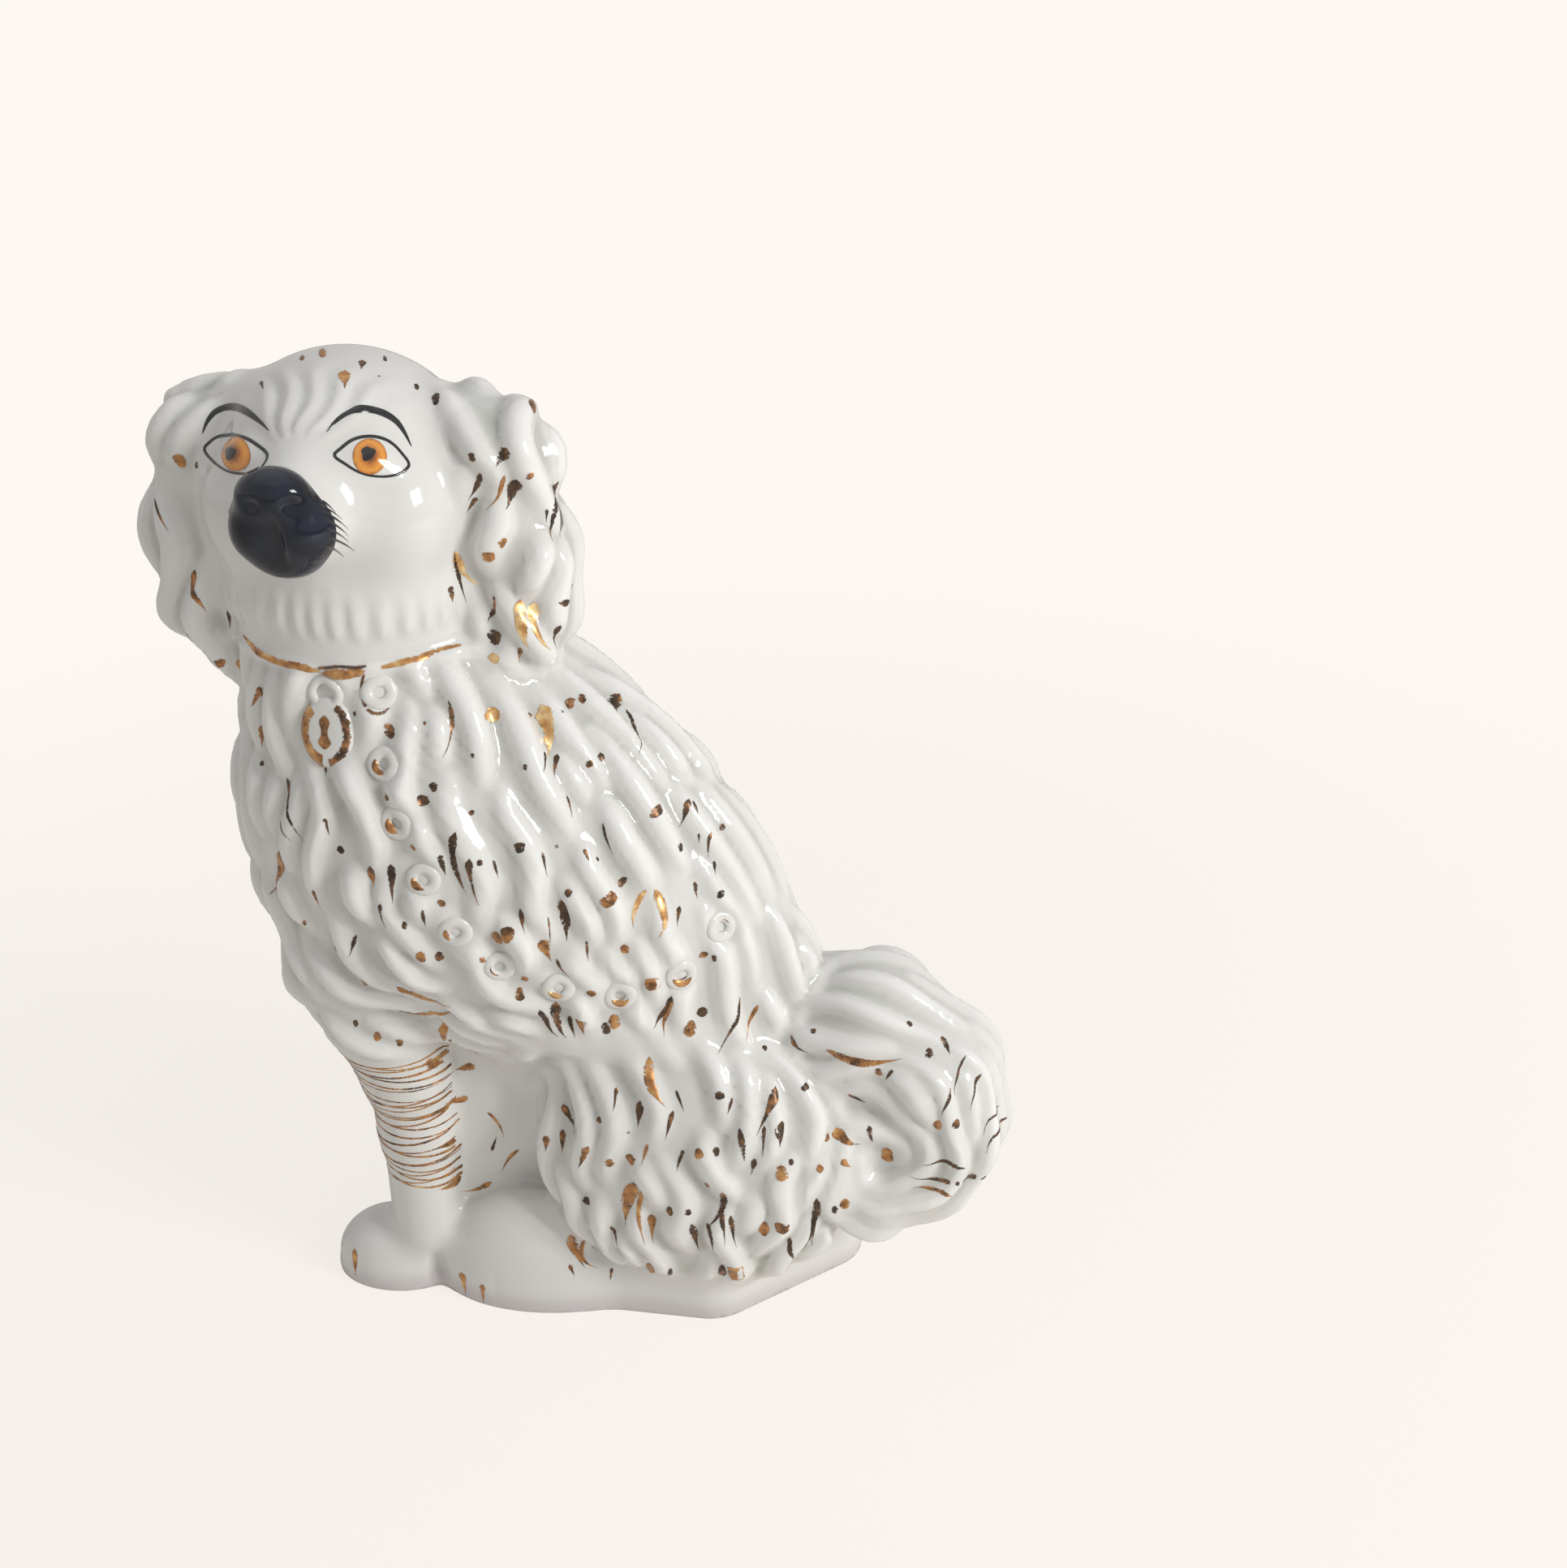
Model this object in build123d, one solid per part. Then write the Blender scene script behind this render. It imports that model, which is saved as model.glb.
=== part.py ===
from build123d import *
from math import cos, pi, sin
import os

# A press-moulded earthenware spaniel, seated, with its head turned to the viewer.
# X runs from the chest (-) to the tail (+), the decorated side faces -Y, and Z is up.
# The origin is on the plinth's underside, between its sides, where the spine's curve comes down.
# All lengths are in millimetres.

# Clay and joints
wall = 5.0                    # thickness of the pressed clay
slip = 0.3                    # layer of liquid clay under every applied piece
ledge = 3.0                   # how far the plinth's top reaches inside the body's wall
roll_radius = 2.6             # clay rolls worked into the joints from inside
roll_gap = 0.8                # between a straight ring or roll and the curved wall it lies on
overrun = 30.0                # how far a cutting shape runs past what it cuts
parting_y = -3.0              # plane where the two halves of the mould met

# Plinth and the slab that closes it
plinth_length = 141.0
plinth_lead = 13.5            # how far its middle is in front of the origin
plinth_depth = 76.0
plinth_height = 20.0
plinth_corner = 9.0
slab_thickness = 6.0
vent_radius = 4.5
vent_x = -4.0

# Body, from the top of the plinth to the collar
torso_height = 221.0
torso_length = 170.0
torso_depth = 106.0
breast_power = 2.3            # how square a level section is towards the chest
spine_power = 1.65            # and towards the spine, where it is more pointed
haunch_length = 106.0
haunch_x = 2.0
haunch_height = 116.0
haunch_reach = 50.0           # from the middle of the plinth
haunch_z = 36.0               # above the plinth
haunch_power = 2.0            # how square the thigh is, seen from the side
haunch_fade = 0.22            # how softly its edge sinks into the body

# Neck and head, round an upright axis on the parting plane
head_lead_share = 0.588       # how far the axis is in front of the origin, of the torso's length
neck_radius = 41.0
ruff_bulge = 1.6
ruff_height = 31.0
temple_height = 11.0
skull_radius = 39.5
muzzle_root_radius = 20.0
muzzle_tip_radius = 15.0
muzzle_reach = 51.5           # from the head's axis to the centre of its tip
muzzle_rise = 4.0             # above the centre of the skull
flew_radius = 10.5
nose_width = 20.0
nose_height = 16.0
chin_width = 18.0
cheek_spread = 18.0           # from the head's axis to the middle of the cheek
cheek_reach = 23.0            # and from the parting plane
cheek_drop = 1.0              # below the centre of the skull
cheek_width = 36.0
cheek_depth = 34.0
cheek_height = 42.0

# Ears, a mirrored pair
ear_spread = 50.0             # from the head's axis to the middle of the ear
ear_length = 67.0
ear_radius = 14.0
ear_rise = 14.0               # from the centre of the skull up to the ear's root

# Legs and paws
leg_lead_share = 0.547        # how far the forelegs are in front, of the torso's length
leg_spread = 47.0
shoulder_radius = 24.0
shoulder_z = 124.0
paw_length = 44.0
paw_width = 31.0
paw_height = 27.0
hind_paw_length = 60.0
hind_paw_width = 31.0
hind_paw_height = 44.0
hind_paw_lead_share = 0.341   # and the middle of the hind paws
hind_paw_spread = 58.0

# Tail, a thick brush coiled against the back
tail_radius = 20.0
tail_lag_share = 0.153        # how far behind the origin it leaves the back, of the torso's length
tail_length = 62.0
tail_height = 84.0
tail_z = 46.0                 # lower end of its path above the floor

# Collar, padlock and chain
relief = 1.6                  # how far applied ornament stands proud
collar_height = 3.6
collar_angle = 116.0
lock_width = 15.0
lock_height = 20.0
lock_drop = 18.0              # from the collar to the middle of the lock
lock_depth = 3.0
keyhole_radius = 1.8
shackle_radius = 3.6
link_radius = 5.0
wire_radius = 0.9
stud_radius = 1.9

head_x = -head_lead_share * torso_length
leg_x = -leg_lead_share * torso_length
hind_paw_x = -hind_paw_lead_share * torso_length
tail_x = tail_lag_share * torso_length
collar_z = plinth_height + torso_height
skull_z = collar_z + ruff_height + temple_height

# Level sections of the body: height, chest, spine, near side and far side
body_shares = [
    (0.000, -0.465, 0.300, 0.198, 0.292),
    (0.090, -0.465, 0.312, 0.203, 0.297),
    (0.181, -0.471, 0.324, 0.217, 0.311),
    (0.308, -0.506, 0.318, 0.283, 0.349),
    (0.398, -0.618, 0.288, 0.377, 0.415),
    (0.498, -0.771, 0.235, 0.462, 0.462),
    (0.611, -0.845, 0.176, 0.505, 0.481),
    (0.724, -0.859, 0.094, 0.514, 0.491),
    (0.814, -0.847, 0.006, 0.486, 0.472),
    (0.905, -0.824, -0.124, 0.439, 0.425),
]
widest_share = 0.45           # where a section is widest, from its chest to its spine
section_steps = 18            # points along half a section

# Corners of the plinth, of half its length and half its depth
plinth_shares = [(-1, -0.84), (-0.66, -0.97), (0.36, -1), (0.97, 0), (1, 0.79), (0.87, 1), (-1, 1)]

# Rings of the ear: spread, distance in front of the axis, drop and radius
ear_shares = [
    (0.74, 0.00, 0.00, 0.86),
    (0.95, 0.14, 0.16, 1.00),
    (1.01, 0.29, 0.43, 1.00),
    (0.98, 0.43, 0.76, 1.00),
    (0.88, 0.57, 1.00, 0.75),
]

# Rings of the foreleg from the shoulder down: lean to the chest, height and radius
leg_shares = [
    (-0.70, 1.25, 0.80),
    (-0.58, 1.05, 1.00),
    (-0.29, 0.89, 0.81),
    (-0.08, 0.71, 0.65),
    (0.00, 0.50, 0.55),
    (0.00, 0.12, 0.54),
]

paw_lead_share = 0.33         # how far the paw's middle is in front of its leg

# Rings of the tail: length, sideways, height and radius
tail_shares = [
    (0.13, 0.11, 0.60, 1.20),
    (0.52, -0.02, 0.67, 1.20),
    (0.84, -0.11, 0.55, 1.10),
    (0.95, -0.18, 0.33, 0.90),
    (0.82, -0.24, 0.13, 0.78),
    (0.58, -0.34, 0.02, 0.70),
]

# Links of the chain: distance along the body and height above the plinth
chain_shares = [
    (-0.490, 0.955), (-0.487, 0.872), (-0.468, 0.792), (-0.420, 0.719), (-0.371, 0.640),
    (-0.302, 0.582), (-0.200, 0.553), (-0.095, 0.553), (0.008, 0.590), (0.100, 0.640),
]


def haunch(x, level, side, grow):
    """Depth of the thigh from the parting plane: an egg whose edge sinks into the body."""
    along = abs((x - haunch_x) / (haunch_length / 2 + grow)) ** haunch_power
    up = abs((level - haunch_z) / (haunch_height / 2 + grow)) ** haunch_power
    return (haunch_reach - side * parting_y + grow) * max(0, 1 - along - up) ** haunch_fade


def half_outline(row, side, grow=0):
    """Points of half a level section, from the chest round to the spine, grown outwards."""
    if row is None:
        level, depth, middle = torso_height, neck_radius, head_x
        front, back, powers = head_x - neck_radius, head_x + neck_radius, (2, 2)
    else:
        level, depth = row[0] * torso_height, row[3 if side < 0 else 4] * torso_depth
        front, back, powers = row[1] * torso_length, row[2] * torso_length, (breast_power, spine_power)
        middle = front + widest_share * (back - front)
    points = []
    for step in range(section_steps + 1):
        turn = pi * step / section_steps
        ahead = step <= section_steps / 2
        power = powers[0] if ahead else powers[1]
        reach = (middle - front if ahead else back - middle) + grow
        x = middle - reach * abs(cos(turn)) ** (2 / power) * (1 if ahead else -1)
        y = 0
        if 0 < step < section_steps:
            y = (depth + grow) * sin(turn) ** (2 / power)
            if row is not None:
                y = (y ** 6 + haunch(x, level, side, grow) ** 6) ** (1 / 6)
        points.append(Vector(x, parting_y + side * y, plinth_height + level))
    return points


def body_press(side):
    """One pressed half of the body, as a wall of even thickness."""
    faces = []
    for row in body_shares + [None]:
        outer = half_outline(row, side)
        inner = half_outline(row, side, -wall)
        edges = [Spline(*outer), Line(outer[-1], inner[-1]), Spline(*inner), Line(inner[0], outer[0])]
        faces.append(make_face(edges).face())
    return loft(faces)


def body_form(grow):
    """The body's whole outer form as one solid, to seat other pieces on."""
    faces = []
    for row in body_shares + [None]:
        edges = [Spline(*half_outline(row, side, grow)) for side in (-1, 1)]
        faces.append(make_face(edges).face())
    faces[-1] = Pos(0, 0, max(grow, 0)) * faces[-1]
    return loft(faces)


def outline_face(points):
    """A flat face with straight sides and rounded corners."""
    corners = make_face(Polyline(*points, close=True))
    return fillet(corners.vertices(), plinth_corner).face()


def plinth_face(grow=0):
    """The plinth's outline, with one corner cut back under the thigh."""
    half_length, half_depth = plinth_length / 2, plinth_depth / 2
    corners = [(half_length * along - plinth_lead, half_depth * across) for along, across in plinth_shares]
    face = outline_face(corners)
    return offset(face, grow).face() if grow else face


def prism(face, low, high):
    """A level face carried up from one height to another."""
    return extrude(Pos(0, 0, low) * face, high - low)


def make_plinth():
    """The hollow plinth, open below for its slab and above into the body."""
    block = prism(plinth_face(), 0, plinth_height)
    hollow = prism(plinth_face(-wall), -overrun, plinth_height - wall)
    edges = [Spline(*half_outline(body_shares[0], side, -wall - ledge)) for side in (-1, 1)]
    mouth = extrude(make_face(edges).face(), overrun, both=True)
    return block - hollow - (mouth & prism(plinth_face(-wall - ledge), -overrun, overrun))


def make_slab():
    """The slab that closes the plinth, with the vent that lets the kiln's heat out."""
    vent = Pos(vent_x, 0, 0) * Cylinder(vent_radius, 2 * overrun)
    return prism(plinth_face(-wall - slip), 0, slab_thickness) - vent


def head_wire(grow, foot_z=collar_z):
    """The head's side profile from the neck to the crown, about its axis."""
    neck, skull = neck_radius + grow, skull_radius + grow
    temple = Vector(skull, 0, skull_z - temple_height)
    low = Vector(neck, 0, foot_z)
    middle = (low + temple) / 2 + Vector(ruff_bulge, 0, 0)
    crown = Vector(0, 0, skull_z + skull)
    bend = Vector(skull * cos(pi / 4), 0, skull_z + skull * sin(pi / 4))
    side = Vector(skull, 0, skull_z)
    return [ThreePointArc(low, middle, temple), Line(temple, side), ThreePointArc(side, bend, crown)]


def head_form(grow):
    """The head's outer form without muzzle and ears, as one solid."""
    foot = Vector(0, 0, collar_z - max(grow, 0))
    edges = head_wire(grow, foot.Z)
    edges += [Line(edges[-1] @ 1, foot), Line(foot, edges[0] @ 0)]
    return Pos(head_x, parting_y, 0) * revolve(make_face(edges).face(), Axis.Z, 360)


def head_press(side):
    """Half of the head as a wall of even thickness, turned about the head's axis."""
    outer, inner = head_wire(0), head_wire(-wall)
    crown = Line(Vector(0, 0, skull_z + skull_radius), Vector(0, 0, skull_z + skull_radius - wall))
    foot = Line(Vector(neck_radius - wall, 0, collar_z), Vector(neck_radius, 0, collar_z))
    half = revolve(make_face(outer + inner + [crown, foot]).face(), Axis.Z, 180)
    return Pos(head_x, parting_y, 0) * (half if side > 0 else Rot(0, 0, 180) * half)


def ball(centre, width, depth, height):
    """A solid egg with its three full sizes along X, Y and Z."""
    return Pos(*centre) * scale(Sphere(1), by=(width / 2, depth / 2, height / 2))


def limb(points, radii):
    """A round limb, lofted through rings that stand square to its path."""
    path = [Vector(*point) for point in points]
    rings = []
    for index, point in enumerate(path):
        along = path[min(index + 1, len(path) - 1)] - path[max(index - 1, 0)]
        rings.append((Plane(point, z_dir=along) * Circle(radii[index])).face())
    return loft(rings)


def make_muzzle():
    """The muzzle with its nose, two flews and chin, without the hollow of the head."""
    tip_y = parting_y - muzzle_reach
    tip_z = skull_z + muzzle_rise
    root = (head_x, parting_y - skull_radius + wall, tip_z)
    muzzle = limb([root, (head_x, tip_y, tip_z)], [muzzle_root_radius, muzzle_tip_radius])
    for side in (-1, 1):
        muzzle += Pos(head_x + side * flew_radius * 0.8, tip_y, tip_z) * Sphere(flew_radius)
    nose = (head_x, tip_y - nose_height / 4, tip_z + nose_height / 2)
    muzzle += ball(nose, nose_width, nose_height, nose_height)
    chin = (head_x, tip_y - chin_width / 18, tip_z - chin_width / 2)
    muzzle += ball(chin, chin_width, chin_width, chin_width * 0.8)
    return muzzle - head_form(-wall)


def make_cheek(side):
    """One full cheek beside the muzzle, without the hollow of the head."""
    middle = (head_x + side * cheek_spread, parting_y - cheek_reach, skull_z - cheek_drop)
    return ball(middle, cheek_width, cheek_depth, cheek_height) - head_form(-wall)


def seated(shape, seats):
    """The same shape without what lies inside the forms that it is luted to."""
    for seat in seats:
        shape = shape - seat
    return max(shape.solids(), key=lambda solid: solid.volume)


def make_ear(side, seats):
    """A drooping ear, flat towards the head and rounded outside."""
    points, radii = [], []
    for spread, forward, drop, radius in ear_shares:
        x = head_x + side * ear_spread * spread
        points.append((x, parting_y - forward * ear_radius, skull_z + ear_rise - drop * ear_length))
        radii.append(radius * ear_radius)
    ear = limb(points, radii)
    ear += Pos(*points[0]) * Sphere(radii[0] * 1.02) + Pos(*points[-1]) * Sphere(radii[-1] * 1.02)
    return seated(ear, seats)


def foreleg_form(side, grow=0):
    """A straight foreleg with its shoulder and its paw."""
    y = side * leg_spread / 2
    points = [(leg_x + lean * shoulder_radius, y, rise * shoulder_z) for lean, rise, _ in leg_shares]
    leg = limb(points, [radius * shoulder_radius + grow for _, _, radius in leg_shares])
    sizes = [size + 2 * grow for size in (paw_length, paw_width, paw_height * 4 / 3)]
    return leg + ball((leg_x - paw_length * paw_lead_share, y, paw_height / 3), *sizes)


def make_hind_paw(side, seats):
    """A hind paw that lies on the plinth and laps over its edge to the floor."""
    y = side * hind_paw_spread / 2
    middle = (hind_paw_x, y, hind_paw_height * 0.46)
    paw = ball(middle, hind_paw_length, hind_paw_width, hind_paw_height * 1.1)
    return seated(cut_at_floor(paw), seats)


def cut_at_floor(shape):
    """The same shape without what lies below the floor."""
    size = 2 * (plinth_length + overrun)
    return shape - Pos(0, 0, -size / 2) * Box(size, size, size)


def make_tail(seats):
    """A brush that rises from the back and coils down against the thigh."""
    points, radii = [], []
    for along, across, up, radius in tail_shares:
        y = parting_y + across * tail_length
        points.append((tail_x + along * tail_length, y, tail_z + up * tail_height))
        radii.append(radius * tail_radius)
    tip = Pos(*points[-1]) * Sphere(radii[-1] * 1.02)
    middle = (tail_x + tail_length * 0.26, parting_y - tail_length * 0.05, tail_z + tail_height * 0.33)
    core = ball(middle, tail_length, tail_radius * 2.4, tail_height)
    middle = (tail_x + tail_length * 0.42, parting_y - tail_length * 0.45, tail_z + tail_height * 0.17)
    curl = ball(middle, tail_radius * 1.15, tail_radius * 0.8, tail_height * 0.4)
    return seated(limb(points, radii) + tip + core + curl, seats)


def on_body(form, x, z):
    """The point of the decorated side at one place, and the way it faces."""
    hits = form.find_intersection_points(Axis((x, -torso_length, z), (0, 1, 0)))
    point, facing = min(hits, key=lambda hit: hit[0].Y)
    return point, facing if facing.Y < 0 else -facing


def make_collar(seats):
    """The moulded collar across the front of the neck, between the ears."""
    outer = neck_radius + ruff_bulge + relief
    band = Plane.XZ * Pos((neck_radius + outer) / 2 - relief, collar_z + slip + collar_height / 2)
    strip = band * Rectangle(outer - neck_radius + 2 * relief, collar_height)
    turned = revolve(strip.face(), Axis.Z, collar_angle)
    return seated(Pos(head_x, parting_y, 0) * Rot(0, 0, -90 - collar_angle / 2) * turned, seats)


def make_lock(frame, grow=0):
    """The oval body of the padlock, square to the breast behind it."""
    plate = Ellipse(lock_width / 2 + grow, lock_height / 2 + grow)
    lock = frame * extrude(plate, lock_depth, both=True)
    if grow:
        return lock
    rim = lock.edges().sort_by(Axis.Y)[0]
    slot = Pos(0, -keyhole_radius * 1.5) * Rectangle(keyhole_radius, keyhole_radius * 3)
    hole = frame * Pos(0, 0, lock_depth - relief / 2) * extrude(Circle(keyhole_radius) + slot, lock_depth)
    return chamfer(rim, relief / 2) - hole


def chain_places(form):
    """Where each link lies: its point on the body, and the way the body faces there."""
    places = []
    for along, up in chain_shares:
        places.append(on_body(form, along * torso_length, plinth_height + up * torso_height))
    return places


def make_seam_rolls():
    """The two rolls of clay inside the body's seams, up the chest and up the spine."""
    inset = wall + roll_gap + roll_radius
    rolls = []
    for share, inward in ((1, 1), (2, -1)):
        rings = []
        for row in body_shares:
            x = row[share] * torso_length + inward * inset
            ring = Pos(x, parting_y, plinth_height + row[0] * torso_height) * Circle(roll_radius)
            rings.append(ring.face())
        rolls.append(seated(loft(rings) & body_form(-wall - slip), []))
    return rolls


def write(name, *shapes):
    """One file for each sub-part, which may be a group of separate solids."""
    solids = [solid for shape in shapes for solid in shape.solids()]
    export_step(solids[0] if len(solids) == 1 else Compound(solids), f"parts/{name}.step")
    print(name, len(solids), round(sum(solid.volume for solid in solids)))


def main():
    os.makedirs("parts", exist_ok=True)
    body, body_seat = body_form(0), body_form(slip)
    skull_seat = head_form(slip)
    plinth_seat = prism(plinth_face(slip), 0, plinth_height + slip)

    write("plinth", make_plinth())
    write("base_slab", make_slab())
    write("body_front_press", body_press(-1))
    write("body_back_press", body_press(1))
    write("body_seam_rolls", *make_seam_rolls())
    write("head_front_press", head_press(-1) + make_muzzle() + make_cheek(-1) + make_cheek(1))
    write("head_back_press", head_press(1))

    ring_radius = neck_radius - wall - roll_gap - roll_radius
    write("neck_luting_ring", Pos(head_x, parting_y, collar_z) * Torus(ring_radius, roll_radius))
    arc = Plane.XZ * Pos(skull_radius - wall - slip - roll_radius, 0) * Circle(roll_radius)
    arch = Rot(90, 0, 0) * revolve(arc.face(), Axis.Z, 180)
    write("head_seam_roll", Pos(head_x, parting_y, skull_z) * arch)

    for side, place in ((-1, "right"), (1, "left")):
        write(f"ear_{place}", make_ear(side, [skull_seat, body_seat]))
    for side, place in ((-1, "near"), (1, "far")):
        write(f"foreleg_{place}", seated(cut_at_floor(foreleg_form(side)), [body_seat, plinth_seat]))
        write(f"hind_paw_{place}", make_hind_paw(side, [body_seat, plinth_seat, foreleg_form(side, slip)]))
    write("tail", make_tail([body_seat, plinth_seat]))

    write("collar_band", make_collar([skull_seat]))
    lock_z = collar_z - lock_drop
    point, facing = on_body(body, head_x, lock_z)
    frame = Plane(point, x_dir=(1, 0, 0), z_dir=facing)
    write("padlock", seated(make_lock(frame), [body_seat]))
    top = lock_z + lock_height / 2 + shackle_radius / 2
    point, facing = on_body(body, head_x, top)
    place = Plane(point + facing * wire_radius / 2, x_dir=(1, 0, 0), z_dir=facing)
    shackle = place * Torus(shackle_radius, wire_radius)
    write("padlock_shackle", seated(shackle, [body_seat, make_lock(frame, slip)]))

    places = chain_places(body)
    link, lift = Torus(link_radius, wire_radius), wire_radius + roll_gap
    links = [Plane(point + facing * lift, z_dir=facing) * link for point, facing in places]
    write("chain_links", *links)
    dome = Sphere(stud_radius, arc_size1=0, align=(Align.CENTER, Align.CENTER, Align.MIN))
    studs = []
    for (start, _), (end, _) in zip(places, places[1:]):
        point, facing = on_body(body, (start.X + end.X) / 2, (start.Z + end.Z) / 2)
        studs.append(Plane(point + facing * slip, z_dir=facing) * dome)
    write("chain_studs", *studs)


main()
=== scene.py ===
import math

import bmesh
import bpy
import numpy as np
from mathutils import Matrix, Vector


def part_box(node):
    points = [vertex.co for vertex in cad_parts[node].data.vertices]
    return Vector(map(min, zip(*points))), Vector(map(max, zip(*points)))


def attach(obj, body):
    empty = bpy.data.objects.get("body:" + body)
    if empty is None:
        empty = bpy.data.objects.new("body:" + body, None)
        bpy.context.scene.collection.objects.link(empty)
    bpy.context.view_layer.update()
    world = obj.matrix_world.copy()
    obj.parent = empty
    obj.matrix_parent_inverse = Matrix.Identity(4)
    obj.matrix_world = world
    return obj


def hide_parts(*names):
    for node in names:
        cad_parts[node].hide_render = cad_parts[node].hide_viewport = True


# The glazed and gilt earthenware spaniel, dressed around its packed clay pieces.
# Shapes are worked out in millimetres in the frame of the figure and written to the meshes in metres.
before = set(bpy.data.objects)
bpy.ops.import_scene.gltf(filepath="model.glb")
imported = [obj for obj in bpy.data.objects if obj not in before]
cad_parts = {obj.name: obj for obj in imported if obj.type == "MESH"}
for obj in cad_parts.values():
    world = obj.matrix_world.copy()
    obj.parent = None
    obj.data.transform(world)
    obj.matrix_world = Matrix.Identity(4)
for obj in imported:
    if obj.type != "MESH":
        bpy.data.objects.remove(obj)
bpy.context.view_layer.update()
metresPerMm = 0.001
rng = np.random.default_rng(1860)


# Shaping tools: every one takes points as an array of x, y, z rows and gives a distance

# the smaller of two distances, with a round fillet of width k where they are alike
def blend(a, b, k):
    h = np.clip(0.5 + 0.5 * (b - a) / k, 0, 1)
    return b + (a - b) * h - k * h * (1 - h)


# egg: how far a point is from an ellipsoid, by its scaled radius over the slope of that radius
def egg(p, centre, radii):
    q = p - np.array(centre, float)
    r = np.array(radii, float)
    scaled = np.sqrt(((q / r) ** 2).sum(-1)) + 1e-9
    slope = np.sqrt(((q / r ** 2) ** 2).sum(-1)) + 1e-9
    return scaled * (scaled - 1) / slope


# limb: round cones from ring to ring, each point measured from the nearest place on its segment
def limb(p, rings, k=5.0):
    out = None
    for a, b in zip(rings[:-1], rings[1:]):
        start, along = np.array(a[:3], float), np.array(b[:3], float) - np.array(a[:3], float)
        q = p - start
        t = np.clip((q @ along) / (along @ along), 0, 1)
        cone = np.sqrt(((q - t[:, None] * along) ** 2).sum(-1)) - (a[3] + (b[3] - a[3]) * t)
        out = cone if out is None else blend(out, cone, k)
    return out


# the cubic from row i of y to the next one that has the given slopes
# there, at the share t of the step between them
def cubic(y, slope, i, step, t):
    h00, h10 = 2 * t ** 3 - 3 * t ** 2 + 1, t ** 3 - 2 * t ** 2 + t
    h01, h11 = 3 * t ** 2 - 2 * t ** 3, t ** 3 - t ** 2
    return h00 * y[i] + h10 * step * slope[i] + h01 * y[i + 1] + h11 * step * slope[i + 1]


# smooth values between the rows of a table: a cubic through each row with the slope of its neighbours
def tableCurve(rows, at):
    rows = np.array(rows, float)
    x, y = rows[:, 0], rows[:, 1:]
    slope = np.gradient(y, x, axis=0)
    i = np.clip(np.searchsorted(x, at) - 1, 0, len(x) - 2)
    step = (x[i + 1] - x[i])[:, None]
    return cubic(y, slope, i, step, np.clip((at - x[i])[:, None] / step, 0, 1))


# a step from 0 to 1 between two values, eased at both ends
def ease(a, b, x):
    t = np.clip((x - a) / (b - a), 0, 1)
    return t * t * (3 - 2 * t)


# points folded onto one side of a middle plane, which may be shifted
def mirrored(p, middle, shift=0):
    return np.stack([np.abs(p[:, 0] - middle - shift), p[:, 1], p[:, 2]], -1)


# The figure's clay form: all sizes in mm, and every fillet is the width over which two forms melt into one

torso = {
    # height, chest, spine, near side, far side
    "levels": [
        (0, -76, 50, -24, 28), (20, -76, 51, -24, 29), (60, -78, 55, -25, 30), (88, -84, 54, -31, 34),
        (108, -103, 49, -42, 42), (130, -131, 39, -51, 47), (155, -143, 29, -56, 49),
        (180, -145, 15, -57, 50), (200, -143, 0, -54, 48), (220, -139, -22, -49, 44),
        (241, -137, -50, -44, 39), (262, -132, -64, -36, 30),
    ],
    "top": 262,
    "row": 0.5, "breastPower": 2.3, "spinePower": 1.65, "widest": 0.45, "squash": 0.92,
}
haunch = {"centre": (2, 0, 61), "radii": (53, 20, 52), "near": -28.5, "far": 28.5, "fillet": 8}
plinth = {
    "top": 20, "round": 2.4, "cornerFillet": 5,
    "corners": [(-84, -32), (-60, -37), (12, -38), (55, 0), (57, 30), (48, 38), (-84, 38)],
}
legs = {
    "near": -24, "far": 22,
    "rings": [(-107, 130, 24), (-100, 110, 19.5), (-95, 88, 15.5), (-93, 62, 13), (-93, 22, 13)],
    "paw": {"centre": (-106, 0, 3), "radii": (22, 15, 21)},
    "web": {"centre": (-72, 0, 62), "radii": (24, 24, 64)},
    "shift": {"near": 0, "far": 7},
    "ringFillet": 7, "fillet": 6,
}
hindPaws = {"near": -29, "far": 28, "centre": (-56, 0, 6), "radii": (31, 14, 35)}
tail = {
    "rings": [(34, 4, 96, 24), (58, -4, 102, 24), (78, -10, 92, 22), (85, -14, 74, 18), (77, -18, 57, 15.5),
              (62, -24, 48, 14)],
    "curl": [(62, -24, 48, 14), (48, -28, 56, 11), (52, -28, 68, 9)],
    "root": {"centre": (42, -6, 74), "radii": (32, 25, 42)},
    "fill": {"centre": (62, -12, 72), "radii": (26, 17, 26)},
    "fillets": {"rings": 7, "curl": 4, "curlRoot": 3, "fill": 6, "root": 8},
    "swirl": (64, 70), "inward": 0.34,
}
head = {
    "x": -100, "skull": (-5, 286), "skullRadii": (39, 39, 36.5), "ruff": (-4, 257), "ruffRadii": (42, 41, 29),
    "cheek": (18, -26, 281), "cheekRadii": (18, 17, 21),
    "muzzle": [(0, -30, 289, 18), (0, -49, 288, 13)], "muzzleShift": -2.0,
    "nose": (0, -58, 296), "noseRadii": (10.5, 8.5, 8),
    "flew": (6.0, -54, 285.5), "flewRadii": (8.7, 10, 9.8),
    "chin": (0, -52, 277.5), "chinRadii": (8.5, 8.5, 6.5),
    "fillets": {"skull": 8, "ring": 6, "muzzle": 13, "nose": 3, "lips": 5},
}
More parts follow.
